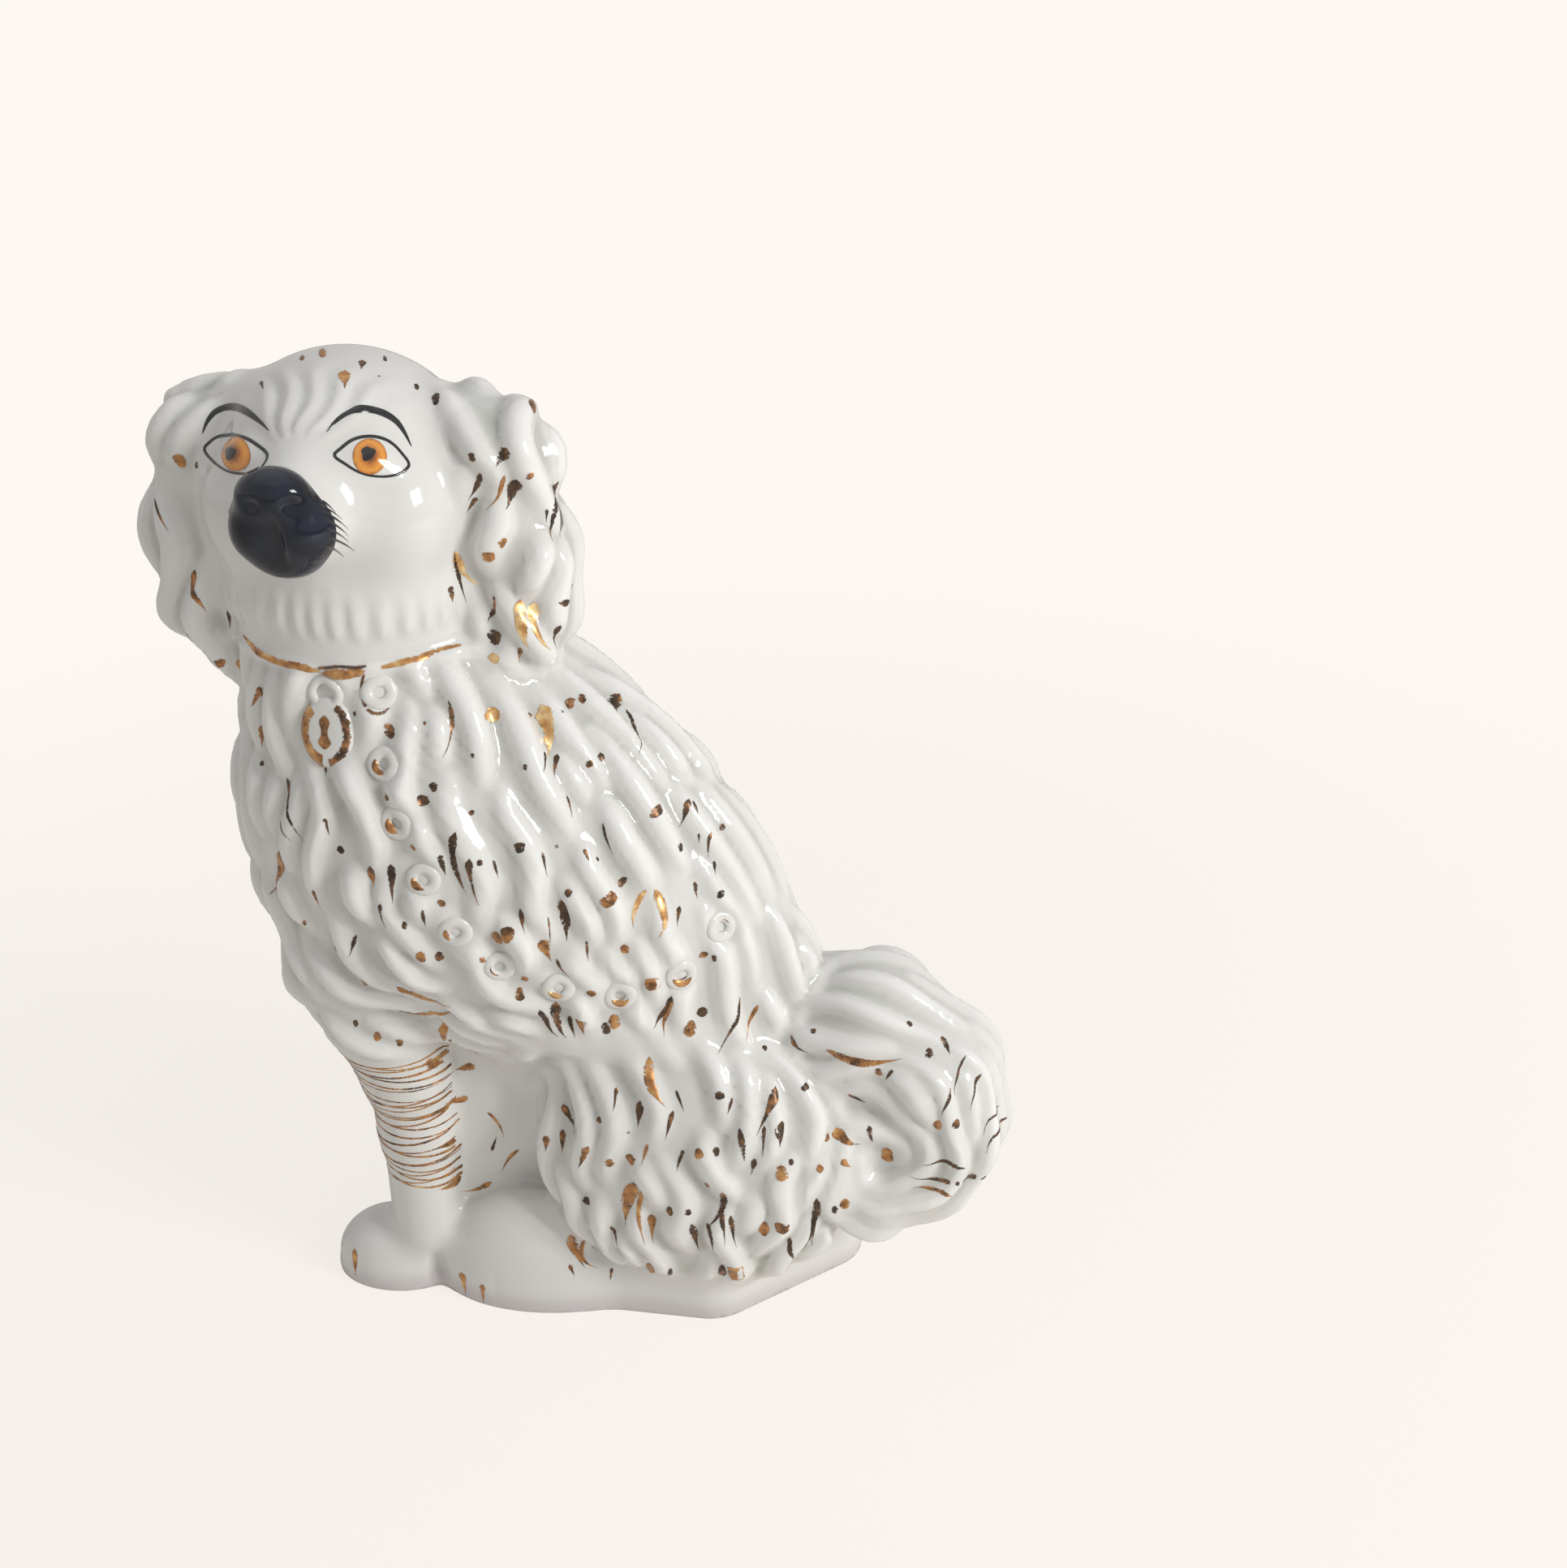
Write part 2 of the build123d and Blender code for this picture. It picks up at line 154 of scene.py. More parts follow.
ear = {
    "rings": [(33, -5, 299, 14.5), (43, -8, 293, 17), (47.5, -9, 268, 16.5), (47.5, -10, 246, 15.5),
              (43.5, -11, 231, 11)],
    "ringFillet": 6, "shift": 2.5, "tip": (221, 226),
}

torsoRows = tableCurve(torso["levels"], np.arange(0, torso["top"] + torso["row"], torso["row"]))


# torso: a level section is a squared oval, so the distance is the scaled radius less one, back in mm
def torsoForm(p):
    row = torsoRows[np.clip(np.round(p[:, 2] / torso["row"]).astype(int), 0, len(torsoRows) - 1)]
    chest, spine, near, far = row.T
    middle = chest + torso["widest"] * (spine - chest)
    dx, dy = p[:, 0] - middle, p[:, 1] - (near + far) / 2
    reach = np.where(dx < 0, middle - chest, spine - middle)
    power = np.where(dx < 0, torso["breastPower"], torso["spinePower"])
    rho = ((np.abs(dx) / reach) ** power + (np.abs(dy) / ((far - near) / 2)) ** power) ** (1 / power) + 1e-9
    side = (rho - 1) * np.sqrt(dx ** 2 + dy ** 2) / rho * torso["squash"]
    return np.maximum(side, np.abs(p[:, 2] - torso["top"] / 2) - torso["top"] / 2)


# plinth: the furthest of its straight sides' half planes, rounded off to its top
def plinthForm(p):
    corners = np.array(plinth["corners"], float)
    side = None
    for a, b in zip(corners, np.roll(corners, -1, axis=0)):
        out = np.array([b[1] - a[1], a[0] - b[0]]) / np.hypot(*(b - a))
        half = (p[:, :2] - a) @ out
        side = half if side is None else -blend(-side, -half, plinth["cornerFillet"])
    return -blend(-side, plinth["top"] - p[:, 2], plinth["round"])


# a place that is moved to one side of the figure, and along it
def at(place, side, x=0):
    return (place[0] + x, place[1] + side, place[2])


# head: everything is mirrored about its middle plane, so the side distance is used for both halves
def headForm(p):
    width = head["fillets"]
    q = mirrored(p, head["x"])
    out = egg(q, (0, *head["skull"]), head["skullRadii"])
    out = blend(out, egg(q, (0, *head["ruff"]), head["ruffRadii"]), width["skull"])
    out = blend(out, egg(q, head["cheek"], head["cheekRadii"]), width["skull"])
    q = mirrored(p, head["x"], head["muzzleShift"])
    out = blend(out, limb(q, head["muzzle"], width["ring"]), width["muzzle"])
    out = blend(out, egg(q, head["nose"], head["noseRadii"]), width["nose"])
    out = blend(out, egg(q, head["flew"], head["flewRadii"]), width["lips"])
    return blend(out, egg(q, head["chin"], head["chinRadii"]), width["lips"])


# the distance to each part of the figure: eggs and limbs, melted together
def figureParts(p):
    parts = {"plinth": plinthForm(p)}
    body = torsoForm(p)
    for side in ("near", "far"):
        body = blend(body, egg(p, at(haunch["centre"], haunch[side]), haunch["radii"]), haunch["fillet"])
    parts["body"] = body
    parts["head"] = headForm(p)
    parts["ear"] = limb(mirrored(p, head["x"], ear["shift"]), ear["rings"], ear["ringFillet"])
    for side in ("near", "far"):
        y = legs[side]
        shift = legs["shift"][side]
        leg = limb(p, [(x + shift, y, z, r) for x, z, r in legs["rings"]], legs["ringFillet"])
        paw = egg(p, at(legs["paw"]["centre"], y, shift), legs["paw"]["radii"])
        leg = blend(leg, egg(p, legs["web"]["centre"], legs["web"]["radii"]), legs["fillet"])
        parts["foreleg_" + side] = blend(leg, paw, legs["fillet"])
        parts["hind_paw_" + side] = egg(p, at(hindPaws["centre"], hindPaws[side]), hindPaws["radii"])
    width = tail["fillets"]
    brush = blend(limb(p, tail["rings"], width["rings"]), limb(p, tail["curl"], width["curl"]),
                  width["curlRoot"])
    for name in ("fill", "root"):
        brush = blend(brush, egg(p, tail[name]["centre"], tail[name]["radii"]), width[name])
    parts["tail"] = brush
    return parts


fillets = {
    "body": None, "plinth": 3.5, "head": 6, "ear": 8, "foreleg_near": 7, "foreleg_far": 7,
    "hind_paw_near": 6, "hind_paw_far": 6, "tail": 6,
}


# all the clay without the flat cut underneath
def clayForm(p):
    parts = figureParts(p)
    out = parts["body"]
    for name, k in fillets.items():
        if k is not None:
            out = blend(out, parts[name], k)
    return out


# the figure's form: its clay, cut off at the table
def figureForm(p):
    return np.maximum(clayForm(p), -p[:, 2])


# Making the surface

surface = {
    "low": (-175, -78, -4), "high": (116, 62, 338), "cell": 1.8, "block": 6,
    "chunk": 200000, "foot": 0.3, "slopeReach": 0.6, "reliefRounds": 5,
    "shadeRounds": 2, "broadRounds": 60,
}


# a function of many points, worked out for one chunk of them after another
def inChunks(function, p, size=surface["chunk"]):
    return np.concatenate([function(p[i:i + size]) for i in range(0, len(p), size)])


# net: one vertex in each crossed cell, at the mean of its edges'
# crossings, and one quad for each crossed edge
def surfaceNet(form, low, high, cell, block):
    counts = [int(math.ceil((h - l) / (cell * block))) * block + 1 for l, h in zip(low, high)]
    outside, reach = 9.0, cell * block * 1.25
    value = np.full(counts, outside, np.float32)
    starts = [np.arange(0, n - 1, block) for n in counts]
    corner = np.stack(np.meshgrid(*starts, indexing="ij"), -1).reshape(-1, 3)
    middle = (corner + block / 2) * cell + np.array(low)
    far = inChunks(form, middle)
    crossing, solid = corner[np.abs(far) < reach], corner[far <= -reach]
    ramp = np.stack(np.meshgrid(*[np.arange(block + 1)] * 3, indexing="ij"), -1).reshape(-1, 3)
    for some, fill in ((solid, True), (crossing, False)):
        nodes = (some[:, None, :] + ramp[None]).reshape(-1, 3)
        flat = np.unique(np.ravel_multi_index(nodes.T, counts))
        if fill:
            value.reshape(-1)[flat] = -outside
        else:
            where = np.stack(np.unravel_index(flat, counts), -1) * cell + np.array(low)
            value.reshape(-1)[flat] = inChunks(form, where)
    inside = value < 0
    n = np.array(counts) - 1
    total = np.zeros(n, np.int8)
    corners = [(a, b, c) for a in (0, 1) for b in (0, 1) for c in (0, 1)]
    for a, b, c in corners:
        total += inside[a:a + n[0], b:b + n[1], c:c + n[2]]
    crossed = (total > 0) & (total < 8)
    cells = np.argwhere(crossed)
    number = np.full(n, -1, np.int32)
    number[crossed] = np.arange(len(cells))
    place, hits = np.zeros((len(cells), 3)), np.zeros(len(cells))
    for i, a in enumerate(corners):
        for b in corners[i + 1:]:
            if np.abs(np.subtract(a, b)).sum() != 1:
                continue
            va, vb = value[tuple((cells + a).T)], value[tuple((cells + b).T)]
            cut = (va < 0) != (vb < 0)
            t = va[cut] / (va[cut] - vb[cut])
            place[cut] += np.array(a) + (np.array(b) - np.array(a)) * t[:, None]
            hits[cut] += 1
    place = (cells + place / hits[:, None]) * cell + np.array(low)
    quads = []
    for axis in range(3):
        u, v = (axis + 1) % 3, (axis + 2) % 3
        first, second = [slice(None)] * 3, [slice(None)] * 3
        first[axis], second[axis] = slice(0, -1), slice(1, None)
        edges = np.argwhere(inside[tuple(first)] != inside[tuple(second)])
        keep = (edges[:, u] > 0) & (edges[:, v] > 0) & (edges[:, u] < n[u]) & (edges[:, v] < n[v])
        edges = edges[keep]
        starting = inside[tuple(first)][tuple(edges.T)]
        ring = []
        for du, dv in ((1, 1), (0, 1), (0, 0), (1, 0)):
            near = edges.copy()
            near[:, u] -= du
            near[:, v] -= dv
            ring.append(number[tuple(near.T)])
        quad = np.stack(ring, -1)
        quad[~starting] = quad[~starting][:, ::-1]
        quads.append(quad)
    return place, np.concatenate(quads)


# each quad becomes four: new vertices at the middles of its edges and of itself
def splitQuads(place, quads):
    pairs = np.stack([quads, np.roll(quads, -1, axis=1)], -1).reshape(-1, 2)
    pairs = np.sort(pairs, axis=1)
    edges, which = np.unique(pairs, axis=0, return_inverse=True)
    which = which.reshape(-1, 4)
    mid = len(place) + which
    centre = len(place) + len(edges) + np.arange(len(quads))
    place = np.concatenate([place, place[edges].mean(1), place[quads].mean(1)])
    new = [np.stack([quads[:, i], mid[:, i], centre, mid[:, i - 1]], -1) for i in range(4)]
    return place, np.concatenate(new)


# the way a form grows fastest, by central differences
def gradient(form, p, reach=0.25):
    out = np.empty_like(p)
    for i in range(3):
        step = np.zeros(3)
        step[i] = reach
        out[:, i] = inChunks(form, p + step) - inChunks(form, p - step)
    return out / (2 * reach)


# Newton steps onto the form's surface, except on the flat underside
def ontoForm(form, p, steps=2):
    for _ in range(steps):
        slope = gradient(form, p)
        size = np.maximum((slope ** 2).sum(-1), 0.05)
        p = p - slope * np.clip(inChunks(form, p) / size, -2, 2)[:, None]
    return p


# the foot: vertices that lie low and near the outline go down onto it, so that the edge on the table is crisp
def squareFoot(p, low=1.1, near=1.5):
    foot = np.flatnonzero(p[:, 2] < low)
    flat = p[foot] * (1, 1, 0)
    rim = np.abs(clayForm(flat)) < near
    foot, flat = foot[rim], flat[rim]
    for _ in range(3):
        slope = gradient(clayForm, flat) * (1, 1, 0)
        flat = flat - slope * (clayForm(flat) / np.maximum((slope ** 2).sum(-1), 0.05))[:, None]
    p[foot] = flat
    return p


# a direction of length one
def unit(v):
    return v / np.maximum(np.linalg.norm(v, axis=-1, keepdims=True), 1e-9)


# vertex normals: each quad's cross product of diagonals, added at its corners
def vertexNormals(place, quads):
    cross = np.cross(place[quads[:, 2]] - place[quads[:, 0]], place[quads[:, 3]] - place[quads[:, 1]])
    out = np.zeros_like(place)
    for i in range(3):
        for k in range(4):
            out[:, i] += np.bincount(quads[:, k], cross[:, i], len(place))
    return unit(out)


# repeated mean of each value with its quad neighbours
def smoothed(values, quads, rounds):
    count = np.bincount(quads.ravel(), minlength=len(values))
    for _ in range(rounds):
        mean = values[quads].mean(1)
        total = np.zeros(len(values))
        for k in range(4):
            total += np.bincount(quads[:, k], mean, len(values))
        values = np.where(count > 0, total / np.maximum(count, 1), values)
    return values


# Placing by the photograph: a pixel of its frame is cast from the camera onto the figure

cameraSet = {
    "place": (96.8, -515.1, 456.4), "forward": (-0.1175, 0.8810, -0.4583), "focal": 2300,
    "frame": (1931, 1932),
    # ray casting: where it starts, how many steps it takes, and each
    # step's share of the distance, least and most
    "start": 380.0, "steps": 70, "share": 0.8, "back": -4, "onward": 30,
}
eyePlace, sightLine = np.array(cameraSet["place"]), unit(np.array(cameraSet["forward"]))
sightRight = unit(np.cross(sightLine, (0, 0, 1)))
sightUp = np.cross(sightRight, sightLine)
frameMiddle = np.array(cameraSet["frame"]) / 2


# ray casting: along each pixel's ray, steps of most of the distance to the form, until it is reached
def fromPhoto(pixels):
    flat = np.asarray(pixels, float).reshape(-1, 2)
    offset = (flat - frameMiddle) / cameraSet["focal"]
    way = unit(sightLine + offset[:, :1] * sightRight - offset[:, 1:] * sightUp)
    far = np.full(len(flat), cameraSet["start"])
    for _ in range(cameraSet["steps"]):
        left = np.clip(figureForm(eyePlace + way * far[:, None]), cameraSet["back"], cameraSet["onward"])
        far += cameraSet["share"] * left
    return (eyePlace + way * far[:, None]).reshape(*np.shape(pixels)[:-1], 3)


# the pixel that shows a place: its share to the right and up, over its distance ahead
def toPhoto(points):
    q = points - eyePlace
    scale = cameraSet["focal"] / (q @ sightLine)
    return np.stack([q @ sightRight * scale, -(q @ sightUp) * scale], -1) + frameMiddle


# how many mm one pixel of the photograph covers at a place
def mmPerPixel(points):
    return (points - eyePlace) @ sightLine / cameraSet["focal"]


# the form's own normal at each place
def facingOf(points):
    return unit(gradient(figureForm, points.reshape(-1, 3), surface["slopeReach"])).reshape(points.shape)


# level and upward directions along the surface, for each normal
def tangents(facing):
    level = unit(np.cross(np.array([0, 0, 1.0]), facing))
    return level, np.cross(facing, level)


# Collar, padlock and chain

ornament = {
    "collar": [(300, 783), (308, 792), (320, 803), (337, 812), (355, 818), (375, 822), (395, 827)],
    "collarEnd": [(470, 822), (492, 817), (515, 812), (532, 805), (550, 799), (568, 795)],
    "collarBreadth": 9.5, "collarEndBreadth": 8.0,
    "buckle": [(396, 830), (413, 830), (430, 830), (450, 826)], "buckleBreadth": 12,
    "buckleTop": [(394, 822), (410, 822), (430, 822), (452, 821)], "buckleTopBreadth": 4,
    "drop": [(449, 830), (446, 842), (447, 858), (452, 872), (462, 880), (474, 877), (483, 868)],
    "dropBreadth": 5,
    "links": [(467, 853), (471, 942), (487, 1016), (520, 1086), (560, 1151), (615, 1194), (688, 1220),
              (764, 1229), (841, 1203), (891, 1143)],
    "linkRadius": 3.5, "linkHalf": 1.9, "linkHeight": 0.95, "linkFlat": 6.0, "lockFlat": 13.0,
    "flattened": 0.75,
    "shackle": (398, 855), "shackleRadius": 4.2, "shackleHalf": 1.5, "shackleHeight": 1.3,
    "lock": (400, 903), "lockWidth": 8.6, "lockHeight": 11.2, "lockDepth": 2.4, "lockRim": 0.4,
    "lockSunk": 0.7, "lockLean": (0, -0.2, 0.1), "keyholeLift": 0.12,
}


# The coat: locks are rounded ropes of clay, each as wide as the room between its neighbours

coat = {
    # place on the side view (x, z), and how the hair lies there, in
    # degrees from straight down towards the tail
    "guides": [
        (-140, 235, 4), (-120, 235, 2), (-100, 232, 0), (-80, 232, 4), (-60, 230, 8), (-40, 222, 18),
        (-20, 205, 28), (-140, 200, 2), (-115, 200, 0), (-90, 198, 2), (-65, 195, 6), (-40, 190, 12),
        (-12, 180, 22), (5, 175, 30), (-140, 165, 10), (-118, 160, 12), (-95, 160, 6), (-70, 165, 6),
        (-40, 160, 6), (-10, 155, 10), (18, 150, 26), (-130, 130, 34), (-112, 122, 58), (-90, 124, 64),
        (-72, 125, 62), (-45, 130, 40), (-20, 128, 30), (10, 130, 8), (30, 128, 16), (-110, 105, 56),
        (-90, 100, 66), (-45, 100, 2), (-20, 100, 4), (5, 105, 14), (30, 100, 20), (-45, 70, 0), (-20, 70, 6),
        (5, 70, 12), (30, 70, -10), (50, 75, -34), (-40, 35, 10), (-15, 35, 10), (10, 35, 4), (35, 38, -22),
        (55, 40, -42),
    ],
    "wave": 27, "waveLength": 36, "step": 1.5, "near": 9.0, "seedShare": 0.25, "sunk": 0.4,
    # gap between locks, their greatest and least length, their height, and how many seeds are tried
    "body": {"gap": 6.9, "length": 50, "least": 14, "height": 4.3, "tries": 1700},
    "tail": {"gap": 6.2, "length": 84, "least": 16, "height": 3.5, "tries": 500},
    "ear": {"gap": 8.2, "length": 60, "least": 16, "height": 4.5, "tries": 400},
}


# the lie of the hair at a place: the guides' directions, weighted by
# one over distance to the fourth, and a wave
def lieOfBody(p):
    guides = np.array(coat["guides"], float)
    d2 = (p[:, None, 0] - guides[None, :, 0]) ** 2 + (p[:, None, 2] - guides[None, :, 1]) ** 2
    weight = 1 / (d2 + 60) ** 2
    turn = np.radians(guides[:, 2])
    across = (weight * np.sin(turn)).sum(1) / weight.sum(1)
    down = (weight * np.cos(turn)).sum(1) / weight.sum(1)
    angle = np.arctan2(across, down)
    run = p[:, 0] * np.sin(angle) - p[:, 2] * np.cos(angle)
    drift = 7 * np.sin(p[:, 0] / 19 + 1.3) + 5 * np.sin(p[:, 2] / 17)
    wave = coat["wave"] * (0.55 + 0.45 * np.sin(p[:, 0] / 31 + p[:, 2] / 43))
    angle = angle + np.radians(wave) * np.sin((run + drift) * 2 * np.pi / coat["waveLength"])
    return np.stack([np.sin(angle), np.zeros(len(p)), -np.cos(angle)], -1)


# round the curl of the tail: over its top towards the back, down, and
# home again, winding slowly inwards in waves
def lieOfTail(p):
    x, z = p[:, 0] - tail["swirl"][0], p[:, 2] - tail["swirl"][1]
    far = np.maximum(np.hypot(x, z), 4)
    inward = tail["inward"] + 0.35 * np.sin(np.arctan2(z, x) * 3 + far / 6)
    return unit(np.stack([(z - inward * x) / far, 0 * x, (-x - inward * z) / far], -1))


# down the ear in waves, mirrored on the other ear
def lieOfEar(p):
    side = np.sign(p[:, 0] - head["x"])
    wave = 0.62 * np.sin((p[:, 2] + 0.7 * np.abs(p[:, 0] - head["x"]) + 0.5 * p[:, 1]) * 2 * np.pi / 44)
    return unit(np.stack([side * (0.1 + wave), 0.35 * wave, -np.ones(len(p))], -1))


# a direction laid into the surface, by taking away its part along the normal
def intoSurface(direction, normal):
    return unit(direction - normal * (direction * normal).sum(-1, keepdims=True))


# between each pair of values in mm the coat fades in
combed = {
    "legs": (98, 112), "haunch": (-56, -46), "plinth": (17, 25), "neck": (236, 241), "back": (-2, 16),
    "backLoss": 0.4, "belly": (-30, 114), "bellyRadii": (36, 9), "bellyLoss": 0.9,
}


# where the body's coat is combed in locks: not on the face, the legs,
# the paws, the belly hollow or the plinth
def combedShare(p):
    x, y, z = p.T
    share = np.clip(ease(*combed["legs"], z) + ease(*combed["haunch"], x) * ease(*combed["plinth"], z), 0, 1)
    (middle, height), (wide, tall) = combed["belly"], combed["bellyRadii"]
    belly = np.exp(-(((x - middle) / wide) ** 2 + ((z - height) / tall) ** 2) ** 2)
    neck, back = 1 - ease(*combed["neck"], z), 1 - combed["backLoss"] * ease(*combed["back"], y)
    return share * (1 - combed["bellyLoss"] * belly) * neck * back


# every pair of a point and a sample that lie in the same cell of a
# grid or in touching ones, a batch at a time
def nearPairs(points, samples, cell):
    low = np.minimum(points.min(0), samples.min(0)) - cell
    size = (np.maximum(points.max(0), samples.max(0)) + cell - low) // cell + 2

    # one number for each cell of the grid
    def key(q):
        return (((q[:, 0] * size[1]) + q[:, 1]) * size[2] + q[:, 2]).astype(np.int64)

    keys = key((samples - low) // cell)
    order = np.argsort(keys, kind="stable")
    keys = keys[order]
    home = (points - low) // cell
    for step in np.stack(np.meshgrid(*[[-1, 0, 1]] * 3), -1).reshape(-1, 3):
        want = key(home + step)
        first, last = np.searchsorted(keys, want, "left"), np.searchsorted(keys, want, "right")
        live, offset = np.flatnonzero(last > first), 0
        while len(live):
            yield live, order[first[live] + offset]
            offset += 1
            live = live[last[live] > first[live] + offset]


# streamlines: from each seed, steps along the lie of the hair both
# ways, and every step is put back on the form
def streamlines(spots, facing, lie, length):
    halves = []
    for way in (-1, 1):
        p, n, path = spots.copy(), facing.copy(), []
        for _ in range(int(length / coat["step"] / 2)):
            p = ontoForm(figureForm, p + way * coat["step"] * intoSurface(lie(p), n), 1)
            n = facingOf(p)
            path.append(p)
        halves.append(np.stack(path, 1))
    return np.concatenate([halves[0][:, ::-1], spots[:, None], halves[1]], 1)


# locks: the longest run of each streamline, around its seed, that keeps the gap from the locks before it
def combOut(lines, gap, least):
    kept, taken = [], np.full((1, 3), 1e6)
    middle, reach = lines.shape[1] // 2, lines.shape[1] * coat["step"]
    for line in lines:
        near = taken[np.abs(taken - line[middle]).max(1) < reach]
        if len(near):
            clear = ((line[:, None] - near[None]) ** 2).sum(-1).min(1) > gap ** 2
        else:
            clear = np.ones(len(line), bool)
        if not clear[middle]:
            continue
        before, after = np.flatnonzero(~clear[:middle]), np.flatnonzero(~clear[middle:])
        run = line[before[-1] + 1 if len(before) else 0:middle + after[0] if len(after) else len(line)]
        if len(run) * coat["step"] < least:
            continue
        kept.append(run)
        taken = np.concatenate([taken, run])
    return kept


# relief: a point's two nearest locks are measured, each by distance over its breadth there, and the
# rope's height falls from its own line to nothing where the next lock is as near
def ropeRelief(points, locks, gap, height):
    t = np.concatenate([np.linspace(0, 1, len(run)) for run in locks])
    number = np.concatenate([np.full(len(run), i) for i, run in enumerate(locks)])
    along = np.concatenate([unit(np.gradient(run, axis=0)) for run in locks])
    samples = np.concatenate(locks)
    swell = np.sqrt(np.sin(np.pi * np.clip(t, 0.01, 0.99)))
    tall = height * (0.25 + 0.75 * swell) * rng.uniform(0.75, 1.15, len(locks))[number]
    broad = (0.5 + 0.5 * swell) * rng.uniform(0.85, 1.15, len(locks))[number]
    first, second = np.full(len(points), 99.0), np.full(len(points), 99.0)
    who, high = np.full(len(points), -1), np.zeros(len(points))
    for live, j in nearPairs(points, samples, coat["near"]):
        q = points[live] - samples[j]
        forward = (q * along[j]).sum(-1)
        past = np.clip(np.abs(forward) - coat["step"] * 0.6, 0, None)
        far = np.sqrt(np.maximum((q ** 2).sum(-1) - forward ** 2, 0) + past ** 2) / broad[j]
        same, closer = number[j] == who[live], far < first[live]
        later = np.where(~closer & ~same, np.minimum(second[live], far), second[live])
        second[live] = np.where(closer & ~same, first[live], later)
        who[live] = np.where(closer, number[j], who[live])
        high[live] = np.where(closer, tall[j], high[live])
        first[live] = np.minimum(first[live], far)
    second = np.minimum(second, np.maximum(1.5 * gap - first, first))
    u = np.clip(2 * first / (first + second), 0, 1)
    return high * (1 - u ** 2.2) ** 0.9 * (first < 90)


print("form and coat are set")

place, quads = surfaceNet(figureForm, surface["low"], surface["high"], surface["cell"], surface["block"])
place, quads = splitQuads(ontoForm(figureForm, place), quads)
bottom = place[:, 2] < surface["foot"]
place = ontoForm(figureForm, place, 2)
place[bottom, 2] = np.maximum(place[bottom, 2], 0)
place = squareFoot(place)
normal = facingOf(place)
print("surface", len(place), "vertices")

# each vertex belongs to the nearest part, and its margin grows from 0 on a border between parts
# to 1 away from it; the legs grow out of the body without a border
names = list(fillets)
legColumns = [names.index("foreleg_near"), names.index("foreleg_far")]
borders = (0.5, 4.5)
notNear = 99


# the distances to all parts side by side
def partDistances(p):
    parts = figureParts(p)
    return np.stack([parts[name] for name in names], -1)


distances = inChunks(partDistances, place)
owner = np.argmin(distances, axis=1)
distances[:, 0] = np.minimum(distances[:, 0], distances[:, legColumns].min(1))
distances[:, legColumns] = notNear
ranked = np.sort(distances, axis=1)
margin = ease(*borders, ranked[:, 1] - ranked[:, 0])
headX = head["x"]


# locks of one region, and what they add to its vertices
def combRegion(mine, lie, share, look):
    pool = rng.permutation(np.flatnonzero(mine & (share > coat["seedShare"])))[:look["tries"]]
    locks = combOut(streamlines(place[pool], normal[pool], lie, look["length"]), look["gap"], look["least"])
    where = np.flatnonzero(mine)
    out = np.zeros(len(place))
    out[where] = ropeRelief(place[where], locks, look["gap"], look["height"]) * share[where]
    print("coat", len(locks), "locks")
    return out


fan = {
    "z": 301, "y": -40, "count": 21, "spread": (0.45, 0.85), "start": (6, 14), "stop": (30, 46), "back": 18,
    "height": 1.1,
}
flutes = {
    "y": -3, "count": 42, "foot": (242.5, 246), "top": 262, "rise": 4, "fall": 12, "spread": (1.25, 1.5),
    "height": 1.05,
}


# short ridges that fan up over the forehead, cosines of the angle round a place between the brows
def foreheadFan(p):
    x, back, z = p[:, 0] - headX, p[:, 1] - fan["y"], p[:, 2] - fan["z"]
    far = np.hypot(x, z * 1.5 + 0.5 * back)
    angle = np.arctan2(x, z + 0.5 * back + 4)
    ridge = np.cos(angle * fan["count"] + 1.5 * np.sin(far / 5.2 + 2 * angle)) * 0.5 + 0.5
    fade = ((1 - ease(*fan["spread"], np.abs(angle))) * ease(*fan["start"], far)
            * (1 - ease(*fan["stop"], far)))
    return fan["height"] * ridge * (fade * (p[:, 1] < fan["back"]))


# upright flutes round the front of the ruff, cosines of the angle round the head
def ruffFlutes(p):
    angle = np.arctan2(p[:, 0] - headX, -(p[:, 1] - flutes["y"]))
    ridge = np.cos(angle * flutes["count"] + 1.1 * np.sin(angle * 7)) * 0.5 + 0.5
    top = flutes["top"] + flutes["rise"] * np.cos(angle * 2.2)
    fade = ease(*flutes["foot"], p[:, 2]) * (1 - ease(top - flutes["fall"], top, p[:, 2]))
    return flutes["height"] * ridge * (fade * (1 - ease(*flutes["spread"], np.abs(angle))))


# soft round rises and dips: a bell over scaled distance
def bell(p, centre, radii, power=2):
    return np.exp(-(((p - np.array(centre)) / np.array(radii)) ** 2).sum(-1) ** (power / 2))


face = {
    "eye": (19, -38, 301), "socket": (13, 12, 9.5), "socketDepth": 2.8, "ball": (8.5, 8, 5.6),
    "ballHeight": 2.0, "brow": (20, -31, 310), "browRadii": (13, 12, 5), "browHeight": 1.2,
    "nostril": (5.4, -66, 295.5), "nostrilRadii": (2.4, 5, 1.7), "nostrilDepth": 2.2,
    "parting": (0, -66, 284), "partingRadii": (1.3, 8, 8), "partingDepth": 2.2,
}
collar = {"z": 240.3, "half": 1.5, "height": 0.9, "back": (-4, 6)}


